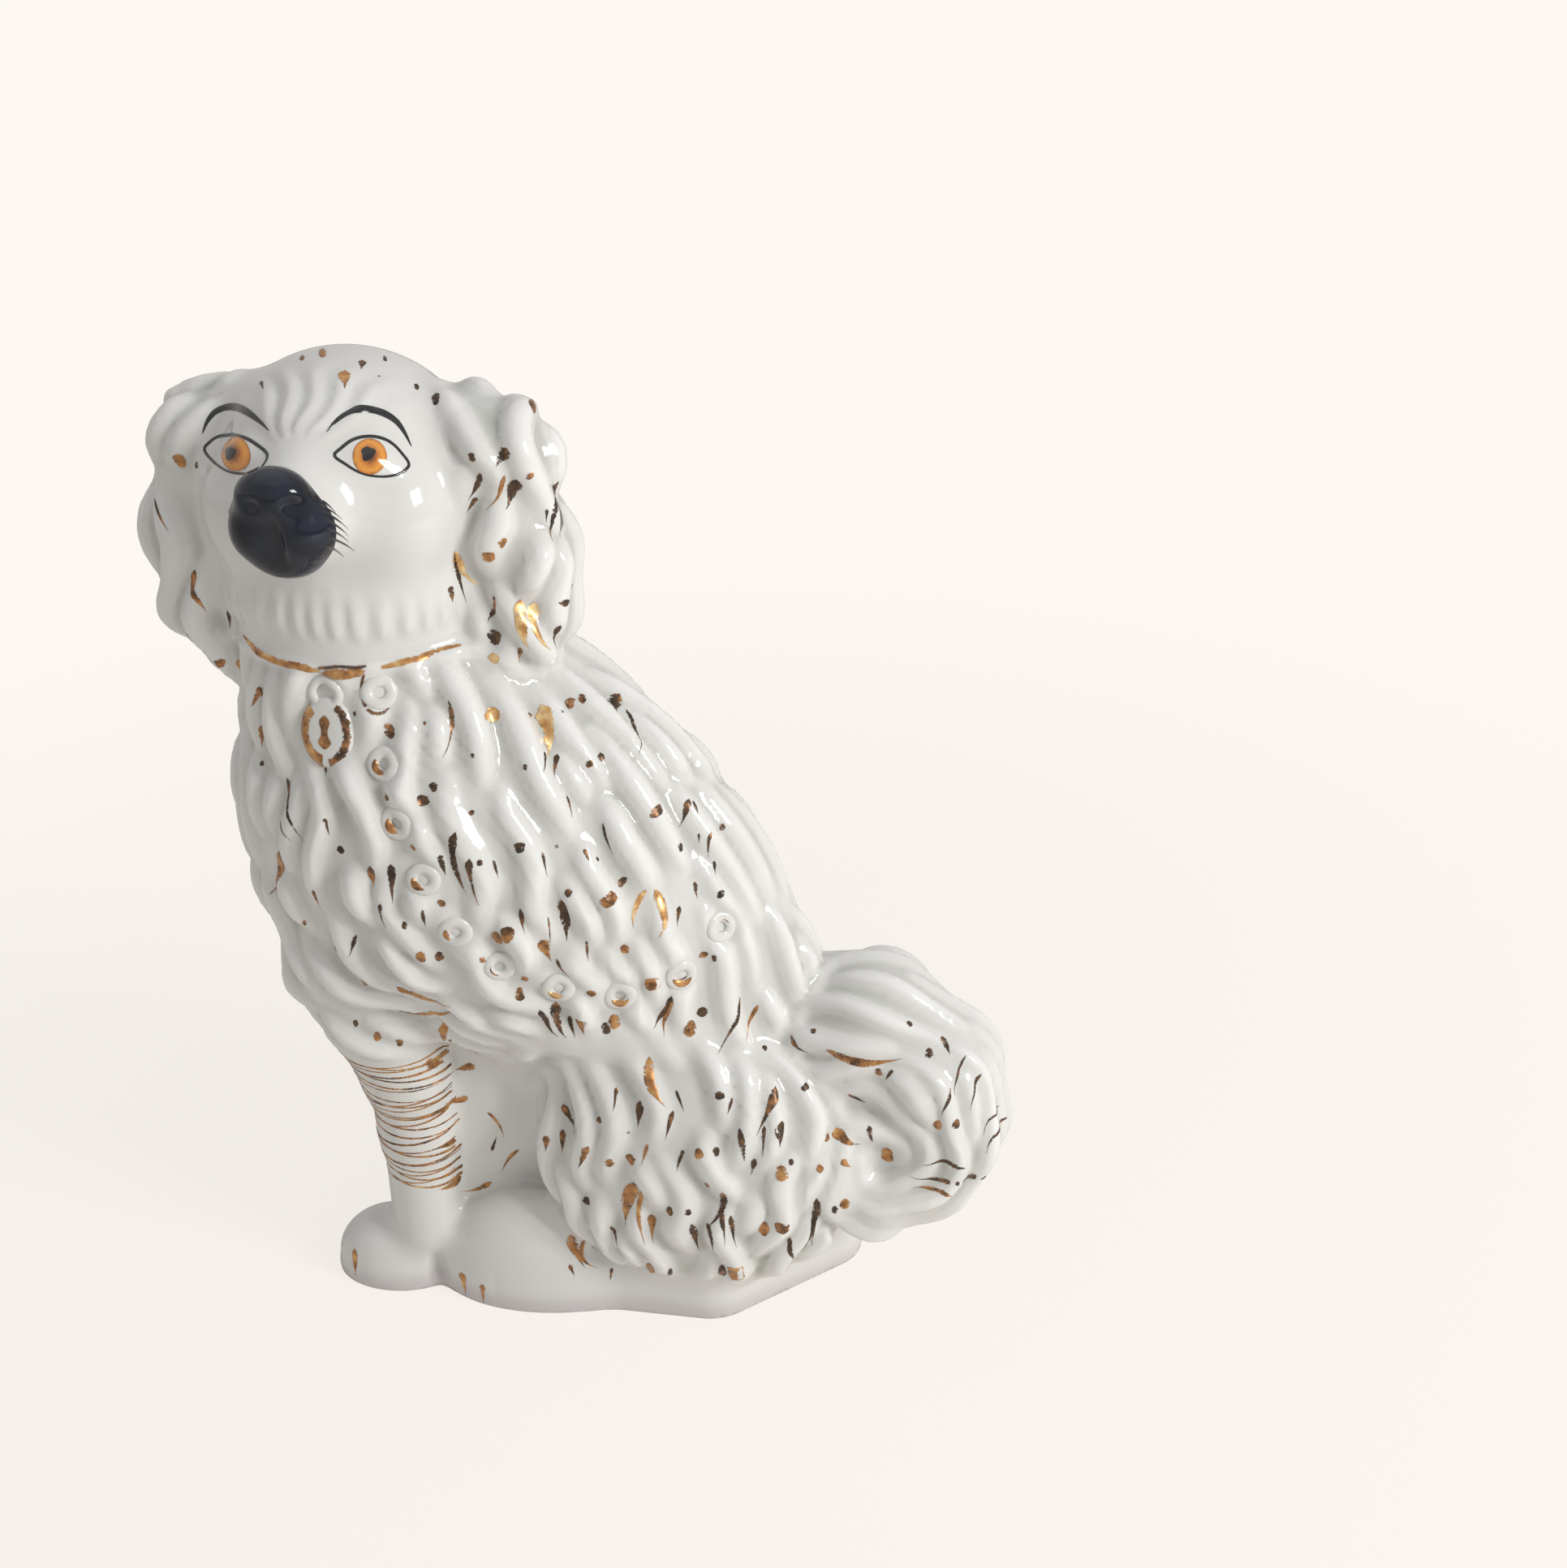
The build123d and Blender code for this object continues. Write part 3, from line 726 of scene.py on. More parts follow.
# the modelled face: sunken sockets with the eyeballs in them, brows, nostrils and the cleft of the lips
def faceRelief(p):
    q = mirrored(p, headX)
    out = -face["socketDepth"] * bell(q, face["eye"], face["socket"])
    out += (face["ballHeight"] + face["socketDepth"] * 0.8) * bell(q, face["eye"], face["ball"])
    out += face["browHeight"] * bell(q, face["brow"], face["browRadii"])
    out -= face["nostrilDepth"] * bell(q, face["nostril"], face["nostrilRadii"])
    return out - face["partingDepth"] * bell(q, face["parting"], face["partingRadii"])


toes = {
    "count": 3.4, "depth": 1.3, "sharp": 0.3, "wide": 1.4, "first": 0.7, "low": (2, 5), "high": (12, 19),
    "spread": (0.8, 1.2), "start": (10, 18), "stop": (34, 38),
}


# clefts between the toes: dips where the sine of the angle round a paw
# is near nothing, at the front of the paw only
def toeClefts(p):
    out = np.zeros(len(p))
    fore, hind = legs["paw"]["centre"], hindPaws["centre"]
    level = ease(*toes["low"], p[:, 2]) * (1 - ease(*toes["high"], p[:, 2]))
    for centre, side, shift in ((fore, legs["near"], 0), (fore, legs["far"], legs["shift"]["far"]),
                                (hind, hindPaws["near"], 0), (hind, hindPaws["far"], 0)):
        x, y = centre[0] + shift - p[:, 0], (p[:, 1] - side) * toes["wide"]
        angle, far = np.arctan2(y, x), np.hypot(x, y)
        cleft = np.exp(-(np.sin(angle * toes["count"] + toes["first"]) / toes["sharp"]) ** 2)
        ahead = ((1 - ease(*toes["spread"], np.abs(angle))) * ease(*toes["start"], far)
                 * (1 - ease(*toes["stop"], far)))
        out -= toes["depth"] * cleft * ahead * level
    return out


# the vertices that belong to some parts
def isPart(*kinds):
    return np.isin(owner, [names.index(kind) for kind in kinds])


isBody, isHead = isPart("body", "foreleg_near", "foreleg_far"), isPart("head")
isEar, isTail = isPart("ear"), isPart("tail")
earShare = margin * ease(*ear["tip"], place[:, 2])
relief = combRegion(isBody, lieOfBody, combedShare(place) * margin, coat["body"])
relief += combRegion(isTail, lieOfTail, margin, coat["tail"])
for mine in (place[:, 0] > headX, place[:, 0] < headX):
    relief += combRegion(isEar & mine, lieOfEar, earShare, coat["ear"])
relief = smoothed(relief, quads, surface["reliefRounds"])

# the coat is flattened where the chain's rings and the padlock lie on it
spots = fromPhoto(np.array(ornament["links"] + [ornament["shackle"], ornament["lock"]], float))
for spot, reach in zip(spots, [ornament["linkFlat"]] * (len(spots) - 1) + [ornament["lockFlat"]]):
    relief *= 1 - ornament["flattened"] * np.exp(-(((place - spot) ** 2).sum(-1) / reach ** 2) ** 2)
relief += (foreheadFan(place) + ruffFlutes(place)) * (isHead * margin) + faceRelief(place) * isHead
paws = isPart("foreleg_near", "foreleg_far", "hind_paw_near", "hind_paw_far", "plinth")
relief += smoothed(toeClefts(place) * paws, quads, 1)
collarShare = np.exp(-((place[:, 2] - collar["z"]) / collar["half"]) ** 4) * (isBody | isHead)
relief += collar["height"] * smoothed(collarShare, quads, 1) * (1 - ease(*collar["back"], place[:, 1]))

# the locks rise half out of the form, so that its outline stays where it is
sunk = coat["sunk"] * coat["body"]["height"] * combedShare(place) * isBody
for name, mine in (("ear", isEar), ("tail", isTail)):
    sunk += coat["sunk"] * coat[name]["height"] * mine * margin
relief -= smoothed(sunk, quads, 3)
# the coat's height over its broad mean, from which the glaze paints a highlight on the ridges and shade in
# the hollows
cavity = relief - smoothed(relief, quads, surface["broadRounds"])
place = place + normal * relief[:, None]
place[:, 2] = np.maximum(place[:, 2], 0)
shade = vertexNormals(place, quads)
shade = unit(np.stack([smoothed(shade[:, i], quads, surface["shadeRounds"]) for i in range(3)], -1))
print("relief", round(float(relief.min()), 2), "to", round(float(relief.max()), 2), "mm")


glazeReach = {"reach": 3.0, "bell": 0.7, "rounds": 2, "columns": 5}


# a place on the finished glaze: moved along the mean normal of the
# vertices near it, to the mean height of their planes
def ontoGlaze(points, lift=0.0):
    p = points.reshape(-1, 3).copy()
    for _ in range(glazeReach["rounds"]):
        facing, height, total = np.zeros_like(p), np.zeros(len(p)), np.full(len(p), 1e-12)
        for live, j in nearPairs(p, place, glazeReach["reach"]):
            q = place[j] - p[live]
            weight = np.exp(-(q ** 2).sum(-1) / glazeReach["bell"] ** 2)
            facing[live] += weight[:, None] * shade[j]
            height[live] += weight * (q * shade[j]).sum(-1)
            total[live] += weight
        facing = unit(facing)
        p = p + facing * (height / total)[:, None]
    lift = np.ravel(lift)[:, None] if np.ndim(lift) else lift
    return (p + facing * lift).reshape(points.shape)


# quads of one grid of rows by columns, repeated for every copy of it
def gridFaces(copies, rows, columns):
    i, j = np.meshgrid(np.arange(rows - 1), np.arange(columns - 1), indexing="ij")
    a = (i * columns + j).ravel()
    quad = np.stack([a, a + columns, a + columns + 1, a + 1], -1)
    return (quad[None] + np.arange(copies)[:, None, None] * rows * columns).reshape(-1, 4)


# ribbons: each line is widened across its own direction and laid on
# the glaze, a little higher along its middle
def ribbons(lines, half, lift):
    facing, columns = facingOf(lines), glazeReach["columns"]
    across = unit(np.cross(facing, unit(np.gradient(lines, axis=1))))
    m = np.linspace(-1, 1, columns)
    points = lines[:, :, None] + across[:, :, None] * (half[:, :, None] * m)[..., None]
    height = np.broadcast_to(lift * (0.45 + 0.55 * (1 - m ** 2)), points.shape[:-1])
    return ontoGlaze(points, height), gridFaces(len(lines), lines.shape[1], columns)


# the breadths that a brush leaves along a stroke, from 0 at its ends to 1
def commaShape(t):
    return np.sqrt(np.clip(t / 0.16, 0, 1)) * (1 - ease(0.12, 1.0, t)) ** 0.75 + 0.02


# a leaf: thickest half way
def leafShape(t):
    return np.sin(np.pi * t) ** 0.8 + 0.02


# a round dab: the half circle's height
def dotShape(t):
    return np.sqrt(np.clip(1 - (2 * t - 1) ** 2, 0, 1)) + 0.02


# a drawn line: nearly even, a little thinner at its ends
def lineShape(t):
    return 0.25 + 0.75 * np.sin(np.pi * np.clip(t * 0.9 + 0.06, 0, 1)) ** 0.6


# a smooth line through given points: each stretch is a cubic with the slopes of its neighbours
def throughPoints(points, count, closed=False):
    p = np.array(points, float)
    if closed:
        p = np.concatenate([p, p[:1]])
    s = np.concatenate([[0], np.cumsum(np.linalg.norm(np.diff(p, axis=0), axis=1))])
    slope = np.gradient(p, s, axis=0)
    if closed:
        slope[0] = slope[-1] = (p[1] - p[-2]) / (s[1] + s[-1] - s[-2])
    x = np.linspace(0, s[-1], count)
    i = np.clip(np.searchsorted(s, x) - 1, 0, len(s) - 2)
    step = (s[i + 1] - s[i])[:, None]
    return cubic(p, slope, i, step, (x - s[i])[:, None] / step)


# Gilding: strokes of the brush as the photograph shows them, in its pixels

# each stroke's tone is partly the gold's own wear and partly painted reflection: dark where the gold would
# mirror dark surroundings, bright where it catches the light
dark, copper, bright, faint = 0.0, 0.5, 1.0, 0.3
gilding = {
    "rows": 13, "swell": 1.12, "lift": 0.2, "lowest": 0.1, "dotTall": 0.62, "dotSlant": 0.12,
    # a stroke is left out where it misses the form, or where its points lie further apart than this
    "miss": 0.6, "jump": 9,
    # head of the stroke, its tip, breadth, tone, bow to the side as a share of its length
    "commas": [
        (319, 854, 314, 868, 8, faint, 0), (350, 958, 372, 1038, 7, dark, 0.05),
        (338, 1050, 330, 1106, 14, copper, -0.12), (344, 1012, 360, 1034, 3, dark, 0),
        (480, 1068, 484, 1114, 9, dark, 0), (470, 1112, 476, 1144, 5, dark, 0.05),
        (438, 1156, 431, 1175, 6, dark, 0), (488, 1218, 556, 1240, 10, copper, 0.1),
        (492, 1243, 562, 1250, 11, copper, 0.08), (562, 1024, 574, 1106, 11, dark, 0.12),
        (579, 1056, 591, 1114, 8, dark, 0.06), (542, 1054, 549, 1082, 9, dark, 0),
        (554, 862, 545, 934, 7, dark, -0.1), (666, 868, 675, 936, 17, bright, -0.1),
        (670, 926, 665, 954, 5, dark, 0), (687, 928, 682, 958, 6, dark, 0),
        (764, 855, 757, 882, 15, dark, 0.1), (771, 874, 787, 930, 5, dark, -0.08),
        (848, 985, 841, 1018, 8, dark, 0), (852, 988, 858, 1004, 4, dark, 0),
        (872, 1026, 873, 1058, 4, dark, 0), (861, 1026, 862, 1040, 3, dark, 0),
        (743, 1014, 755, 1054, 5, dark, 0.06), (720, 1046, 725, 1062, 5, dark, 0),
        (808, 1097, 813, 1154, 14, bright, -0.14), (797, 1098, 784, 1146, 7, bright, 0.1),
        (840, 1118, 838, 1142, 5, dark, 0), (689, 1110, 699, 1162, 12, dark, -0.05),
        (676, 1130, 679, 1164, 3, dark, 0), (722, 1160, 727, 1186, 4, dark, 0),
        (668, 1160, 679, 1188, 12, copper, 0), (684, 1184, 702, 1204, 4, dark, 0.1),
        (824, 1212, 858, 1190, 8, dark, 0.2), (665, 1245, 688, 1276, 8, dark, 0.08),
        (684, 1239, 698, 1278, 11, dark, 0.1), (700, 1254, 709, 1278, 6, dark, 0),
        (716, 1250, 720, 1274, 8, copper, 0), (828, 1227, 803, 1266, 9, dark, -0.1),
        (831, 1232, 819, 1278, 7, copper, 0.1), (800, 1303, 820, 1364, 14, copper, 0.12),
        (692, 1361, 708, 1396, 8, dark, 0.05), (677, 1396, 674, 1416, 6, faint, 0),
        (692, 1394, 689, 1424, 6, faint, 0), (725, 1409, 714, 1437, 7, faint, 0),
        (786, 1358, 784, 1392, 8, dark, 0), (830, 1370, 820, 1408, 6, dark, 0),
        (956, 1338, 930, 1398, 10, dark, -0.06), (942, 1386, 940, 1426, 5, dark, 0),
        (960, 1380, 959, 1412, 11, dark, 0), (914, 1388, 917, 1432, 7, dark, 0),
        (781, 1461, 769, 1512, 18, copper, 0.1), (788, 1468, 794, 1530, 7, copper, 0.06),
        (752, 1511, 765, 1532, 6, dark, 0), (802, 1500, 805, 1532, 7, copper, 0),
        (891, 1464, 869, 1514, 9, dark, -0.16), (869, 1508, 880, 1542, 7, dark, -0.16),
        (889, 1480, 891, 1530, 6, dark, 0), (900, 1498, 906, 1536, 6, dark, 0),
        (852, 1508, 861, 1544, 8, dark, 0), (702, 1521, 721, 1562, 11, copper, 0.05),
        (720, 1528, 736, 1562, 6, copper, 0.3), (702, 1558, 708, 1572, 5, faint, 0),
        (754, 1562, 752, 1578, 4, dark, 0), (1007, 1479, 984, 1537, 9, dark, -0.12),
        (1006, 1502, 1001, 1534, 7, dark, 0.08), (973, 1526, 974, 1548, 7, dark, 0),
        (1103, 1486, 1026, 1529, 10, copper, 0.05), (1020, 1290, 1112, 1304, 12, copper, 0.14),
        (1162, 1275, 1171, 1299, 9, dark, 0), (1031, 1391, 1062, 1412, 13, copper, 0.15),
        (1037, 1430, 1050, 1440, 10, copper, 0), (1070, 1386, 1076, 1406, 6, dark, 0),
        (1186, 1436, 1138, 1434, 7, dark, 0.06), (1216, 1440, 1122, 1448, 9, dark, -0.12),
        (1170, 1470, 1124, 1466, 6, copper, 0.05), (975, 1276, 996, 1297, 7, dark, 0.1),
        (912, 1228, 886, 1298, 6, dark, -0.05), (934, 1240, 920, 1282, 4, copper, 0),
        (1240, 1374, 1216, 1418, 4, dark, 0.1), (1230, 1362, 1212, 1400, 3, dark, 0.1),
        (1172, 1340, 1160, 1376, 4, dark, 0), (1208, 1322, 1196, 1366, 4, dark, 0.06),
        (1190, 1300, 1178, 1352, 3, dark, 0.06), (1100, 1318, 1090, 1332, 5, dark, 0),
        (425, 458, 424, 482, 12, copper, 0), (323, 472, 328, 484, 4, dark, 0),
        (447, 444, 445, 456, 8, faint, 0), (193, 614, 211, 655, 4, dark, 0.05),
        (240, 702, 253, 752, 9, copper, 0.08), (282, 752, 283, 775, 8, dark, 0),
        (234, 778, 241, 791, 3, dark, 0), (252, 800, 262, 814, 3, dark, 0), (626, 552, 612, 575, 15, dark, 0),
        (590, 584, 577, 618, 7, dark, -0.1), (587, 616, 576, 634, 4, dark, 0),
        (623, 587, 600, 629, 6, copper, -0.08), (636, 592, 622, 628, 14, dark, -0.1),
        (687, 592, 683, 666, 11, dark, 0.04), (690, 618, 694, 662, 4, dark, 0),
        (673, 626, 675, 645, 4, dark, 0), (697, 632, 695, 655, 5, dark, 0),
        (561, 678, 593, 725, 10, bright, 0.12), (560, 680, 575, 742, 6, dark, 0.03),
        (555, 722, 558, 742, 9, dark, 0), (607, 734, 601, 769, 8, dark, -0.05),
        (642, 740, 654, 796, 15, bright, 0.1), (660, 744, 673, 799, 13, bright, 0.16),
        (687, 766, 682, 799, 7, dark, 0), (640, 799, 643, 818, 6, faint, 0),
        (437, 1538, 438, 1572, 9, copper, 0), (546, 1559, 543, 1584, 9, copper, 0),
        (569, 1568, 574, 1594, 10, copper, 0), (594, 1582, 596, 1606, 7, copper, 0),
        (606, 1418, 612, 1400, 4, dark, 0), (600, 1370, 621, 1402, 4, copper, -0.1),
        (640, 1416, 618, 1446, 5, copper, 0.1), (606, 1456, 568, 1468, 6, copper, -0.08),
        (585, 1313, 560, 1318, 10, copper, 0), (577, 1352, 548, 1360, 9, copper, 0),
        (562, 1405, 538, 1416, 8, faint, 0), (568, 1449, 540, 1466, 12, copper, -0.1),
        (524, 1310, 548, 1309, 12, copper, 0), (454, 1068, 458, 1094, 9, faint, 0),
        (322, 894, 320, 922, 9, faint, 0), (396, 938, 400, 956, 4, faint, 0),
        (832, 1345, 842, 1372, 4, dark, 0), (902, 1352, 896, 1372, 5, dark, 0),
        (1046, 1346, 1066, 1362, 5, dark, 0.1), (930, 1430, 926, 1452, 5, dark, 0),
        (840, 1420, 834, 1444, 5, dark, 0), (796, 1412, 790, 1436, 5, copper, 0),
        (760, 1340, 756, 1368, 5, dark, 0), (858, 1088, 862, 1108, 5, dark, 0),
        (880, 1060, 882, 1078, 4, dark, 0), (700, 980, 706, 1008, 5, dark, 0),
        (640, 1120, 646, 1150, 6, dark, 0), (520, 1118, 524, 1146, 5, dark, 0),
        (385, 1096, 390, 1122, 5, copper, 0), (610, 1060, 616, 1084, 5, dark, 0),
        (400, 1006, 406, 1030, 5, dark, 0), (668, 1050, 674, 1080, 5, dark, 0),
    ],
    # centre, breadth, tone
    "dots": [
        (319, 941, 5, dark), (416, 1050, 8, dark), (518, 1178, 11, copper), (540, 1182, 9, faint),
        (416, 1168, 6, faint), (375, 1137, 5, dark), (448, 1212, 9, copper), (546, 1272, 11, copper),
        (558, 1279, 5, dark), (436, 1264, 6, faint), (464, 1278, 9, faint), (492, 1284, 9, faint),
        (582, 1002, 5, dark), (590, 1062, 6, dark), (532, 970, 10, dark), (520, 987, 11, dark),
        (479, 905, 9, dark), (474, 984, 6, dark), (523, 891, 4, faint), (607, 880, 15, bright),
        (597, 884, 7, bright), (704, 864, 10, faint), (717, 861, 9, faint), (740, 933, 9, dark),
        (725, 941, 7, faint), (650, 944, 6, dark), (804, 1000, 10, dark), (890, 1019, 7, dark),
        (640, 1043, 11, dark), (737, 1058, 5, dark), (768, 1088, 8, dark), (748, 1106, 13, copper),
        (886, 1101, 7, dark), (612, 1158, 14, copper), (625, 1150, 14, copper), (728, 1222, 9, copper),
        (801, 1209, 13, copper), (640, 1226, 11, faint), (746, 1268, 11, dark), (756, 1260, 13, copper),
        (850, 1268, 17, copper), (867, 1250, 10, dark), (887, 1348, 8, dark), (862, 1420, 10, copper),
        (882, 1419, 9, dark), (751, 1432, 10, faint), (775, 1431, 10, faint), (720, 1482, 7, dark),
        (825, 1492, 9, faint), (847, 1490, 6, dark), (801, 1562, 12, copper), (825, 1566, 7, dark),
        (890, 1565, 11, dark), (905, 1561, 13, copper), (941, 1514, 13, copper), (962, 1507, 10, faint),
        (1029, 1492, 8, dark), (1042, 1486, 11, copper), (962, 1445, 14, copper), (975, 1432, 6, dark),
        (1082, 1322, 8, dark), (1145, 1297, 9, dark), (1020, 1402, 9, copper), (1092, 1425, 14, copper),
        (1155, 1387, 10, faint), (1176, 1383, 9, faint), (397, 435, 9, faint), (372, 441, 5, faint),
        (474, 442, 5, dark), (513, 477, 6, dark), (538, 494, 11, dark), (218, 570, 15, copper),
        (241, 573, 7, dark), (273, 812, 9, faint), (292, 820, 10, copper), (320, 852, 10, faint),
        (650, 505, 9, faint), (582, 563, 9, faint), (651, 583, 6, dark), (617, 667, 11, copper),
        (603, 682, 11, copper), (694, 722, 7, dark), (687, 740, 7, dark), (607, 787, 14, dark),
        (608, 812, 12, bright), (1003, 1272, 7, dark), (943, 1290, 6, dark), (1120, 1262, 7, dark),
        (836, 1044, 8, dark), (584, 930, 5, dark), (434, 880, 5, faint), (498, 1140, 7, dark),
        (700, 1100, 8, dark), (770, 1172, 8, copper), (880, 1180, 7, dark), (990, 1340, 7, dark),
        (1010, 1440, 8, copper), (870, 1462, 7, copper), (738, 1380, 7, dark), (655, 880, 6, faint),
    ],
    # fine lines round the near foreleg: heights of the first and last, their count, their angles and breadth
    "legHigh": 101, "legLow": 46, "legLines": 27, "legTurn": (356, 205), "legBreadth": 0.5,
    "legTones": (0.42, 0.16),
}


# strokes from rows of the table: straight from head to tip but for a bow, cast onto the form, as
# broad as the row says times the shape of the brush, with a slow wobble
def strokeSet(rows, shape):
    rows = np.array(rows, float)
    t = np.linspace(0, 1, gilding["rows"])
    a, b = rows[:, None, :2], rows[:, None, 2:4]
    side = np.stack([a[..., 1] - b[..., 1], b[..., 0] - a[..., 0]], -1)
    pixels = a + (b - a) * t[:, None] + side * (rows[:, None, 6:7] * 4 * (t * (1 - t))[:, None])
    lines = fromPhoto(pixels)
    met = (np.abs(figureForm(lines.reshape(-1, 3))) < gilding["miss"]).reshape(len(rows), -1).all(1)
    met &= np.linalg.norm(np.diff(lines, axis=1), axis=-1).max(1) < gilding["jump"]
    rows, lines = rows[met], lines[met]
    half = rows[:, 4:5] * gilding["swell"] / 2 * mmPerPixel(lines) * shape(t)
    start, turns = rng.uniform(0, 6.3, (len(rows), 1)), rng.uniform(5, 9, (len(rows), 1))
    return lines, half * (1 + 0.12 * np.sin(start + t * turns)), rows[:, 5]


# arcs round the leg's own rings, put back on the form, each with its own slope, sag and reach
def legLines():
    count, rows = gilding["legLines"], gilding["rows"]
    draw = rng.uniform(-1, 1, (5, count, 1))
    rings = np.array(legs["rings"])[::-1]
    t = np.linspace(0, 1, rows)
    start, stop = gilding["legTurn"]
    turn = np.radians(start - 22 * np.abs(draw[0]) + (stop - start + 30 * draw[1]) * t)
    z = np.linspace(gilding["legHigh"], gilding["legLow"], count)[:, None] + 1.2 * draw[2]
    z = z + 5 * draw[3] * (t - 0.4) - 5 * t * (1 - t)
    x, radius = np.interp(z, rings[:, 1], rings[:, 0]), np.interp(z, rings[:, 1], rings[:, 2])
    points = np.stack([x + radius * np.cos(turn), legs["near"] + radius * np.sin(turn), z], -1)
    lines = ontoForm(figureForm, points.reshape(-1, 3), 3).reshape(points.shape)
    half = gilding["legBreadth"] / 2 * (1 + 0.6 * np.abs(draw[4])) * lineShape(t)
    half = half * (1 + 3 * np.clip(draw[1] + 0.3, 0, 1) * (1 - t) ** 5)
    tone, spread = gilding["legTones"]
    return lines, half, tone + spread * draw[1, :, 0]


# all the strokes, dots and leg lines as one mesh, with each point's tone
# and its place across the stroke, -1 to 1
def gildStrokes():
    tall, slant = gilding["dotTall"], gilding["dotSlant"]
    dots = [(x, y - w * tall, x + w * slant, y + w * tall, w, tone, 0) for x, y, w, tone in gilding["dots"]]
    sets = [strokeSet(gilding["commas"], commaShape), strokeSet(dots, dotShape), legLines()]
    lines, half, tone = (np.concatenate(some) for some in zip(*sets))
    points, faces = ribbons(lines, half, gilding["lift"])
    points[..., 2] = np.maximum(points[..., 2], gilding["lowest"])
    count, rows, columns = points.shape[:3]
    edge = np.tile(np.linspace(-1, 1, columns), count * rows)
    return points.reshape(-1, 3), faces, np.repeat(tone, rows * columns), edge


# The painted face

eyes = {
    "near": {
        "outline": [(412, 560), (421, 551), (434, 542), (457, 538), (480, 544), (495, 557), (505, 573),
                    (497, 581), (484, 586), (465, 587), (443, 582), (426, 572)],
        "iris": (455, 563), "irisSize": (20, 22), "pupil": (453, 561), "pupilSize": 7.5,
        "brow": [(403, 532), (411, 522), (421, 514), (436, 508), (455, 506), (473, 511), (488, 520),
                 (499, 533), (508, 549)],
    },
    "far": {
        "outline": [(251, 553), (257, 545), (266, 538), (280, 535), (298, 539), (314, 546), (328, 560),
                    (322, 572), (308, 581), (290, 583), (272, 577), (259, 566)],
        "iris": (291, 560), "irisSize": (18, 20.5), "pupil": (288, 560), "pupilSize": 6.5,
        "brow": [(250, 534), (256, 521), (266, 509), (280, 502), (294, 503), (308, 510), (320, 519),
                 (332, 531)],
    },
    "lidBreadth": 4.0, "browBreadth": 9.5, "whiskerBreadth": 3.4, "whiskerBow": -0.06, "pupilWobble": 0.12,
    "whiskers": [(392, 622, 422, 640), (396, 630, 430, 653), (400, 640, 430, 661), (402, 651, 430, 668),
                 (402, 662, 437, 679), (396, 616, 414, 632), (400, 672, 424, 686)],
    "lift": {"iris": 0.12, "pupil": 0.2, "lid": 0.2, "brow": 0.3, "whisker": 0.16},
    "lidPoints": 61, "browPoints": 33, "discRings": 5, "discSpokes": 40,
}


# a disc of rings and spokes, whose pixels are scaled by a share that runs round it
def photoDisc(centre, size, lift, wobble=0.0):
    rings, spokes = eyes["discRings"], eyes["discSpokes"] + 1
    angle = np.linspace(0, 2 * np.pi, spokes)
    share = np.linspace(0, 1, rings)[:, None]
    edge = 1 + wobble * (np.sin(3 * angle + 1) + 0.6 * np.sin(5 * angle))
    across, down = size[0] * share * edge * np.cos(angle), size[1] * share * edge * np.sin(angle)
    points = ontoGlaze(fromPhoto(np.stack([centre[0] + across, centre[1] - down], -1)), lift)
    return points.reshape(-1, 3), gridFaces(1, rings, spokes), np.repeat(share.ravel(), spokes)


# several meshes as one: each one's faces are counted on from the points before
def joined(pieces):
    points, faces, count = [], [], 0
    for some, quadsOf in pieces:
        points.append(some.reshape(-1, 3))
        faces.append(quadsOf + count)
        count += some.size // 3
    return np.concatenate(points), np.concatenate(faces)


# a painted line through given pixels, as broad as a brush of some pixels times its shape
def photoLine(pixels, breadth, shape, count=41, closed=False):
    line = fromPhoto(throughPoints(pixels, count, closed))[None]
    return line, breadth / 2 * mmPerPixel(line) * shape(np.linspace(0, 1, count))


# a lid's line: one wave of the sine, so that it is broader along the top
def lidShape(t):
    return np.sin(t * 2 * np.pi) * 0.22 + 1


# a brow: half a wave of the sine, so that it swells in its middle
def browShape(t):
    return np.sin(np.pi * t) ** 0.9 * 0.92 + 0.1


# discs for the irises and pupils, and ribbons for the lids, brows and whiskers
def paintFace():
    irises, pupils, blackLines, lift = [], [], [], eyes["lift"]
    for eye in (eyes["near"], eyes["far"]):
        irises.append(photoDisc(eye["iris"], eye["irisSize"], lift["iris"]))
        pupils.append(photoDisc(eye["pupil"], (eye["pupilSize"],) * 2, lift["pupil"],
                                eyes["pupilWobble"])[:2])
        lid = photoLine(eye["outline"], eyes["lidBreadth"], lidShape, eyes["lidPoints"], closed=True)
        brow = photoLine(eye["brow"], eyes["browBreadth"], browShape, eyes["browPoints"])
        blackLines += [ribbons(*lid, lift["lid"]), ribbons(*brow, lift["brow"])]
    rows = [(*line, eyes["whiskerBreadth"], 0, eyes["whiskerBow"]) for line in eyes["whiskers"]]
    lines, half, _ = strokeSet(rows, commaShape)
    return irises, pupils, blackLines + [ribbons(lines, half, lift["whisker"])]


# rings laid on the glaze: a flattened tube about a circle whose every point is put on the surface
def surfaceRings(centres, radius, half, height, spokes=36, sides=10):
    facing = facingOf(centres)
    u, v = tangents(facing)
    a = np.linspace(0, 2 * np.pi, spokes + 1)
    b = np.linspace(0, 2 * np.pi, sides + 1)
    radial = u[:, None] * np.cos(a)[:, None] + v[:, None] * np.sin(a)[:, None]
    base = ontoGlaze(centres[:, None] + radial * radius)
    up = facing[:, None, None] * (height * np.sin(b))[:, None]
    points = base[:, :, None] + radial[:, :, None] * (half * np.cos(b))[:, None] + up
    return points.reshape(-1, 3), gridFaces(len(centres), spokes + 1, sides + 1)


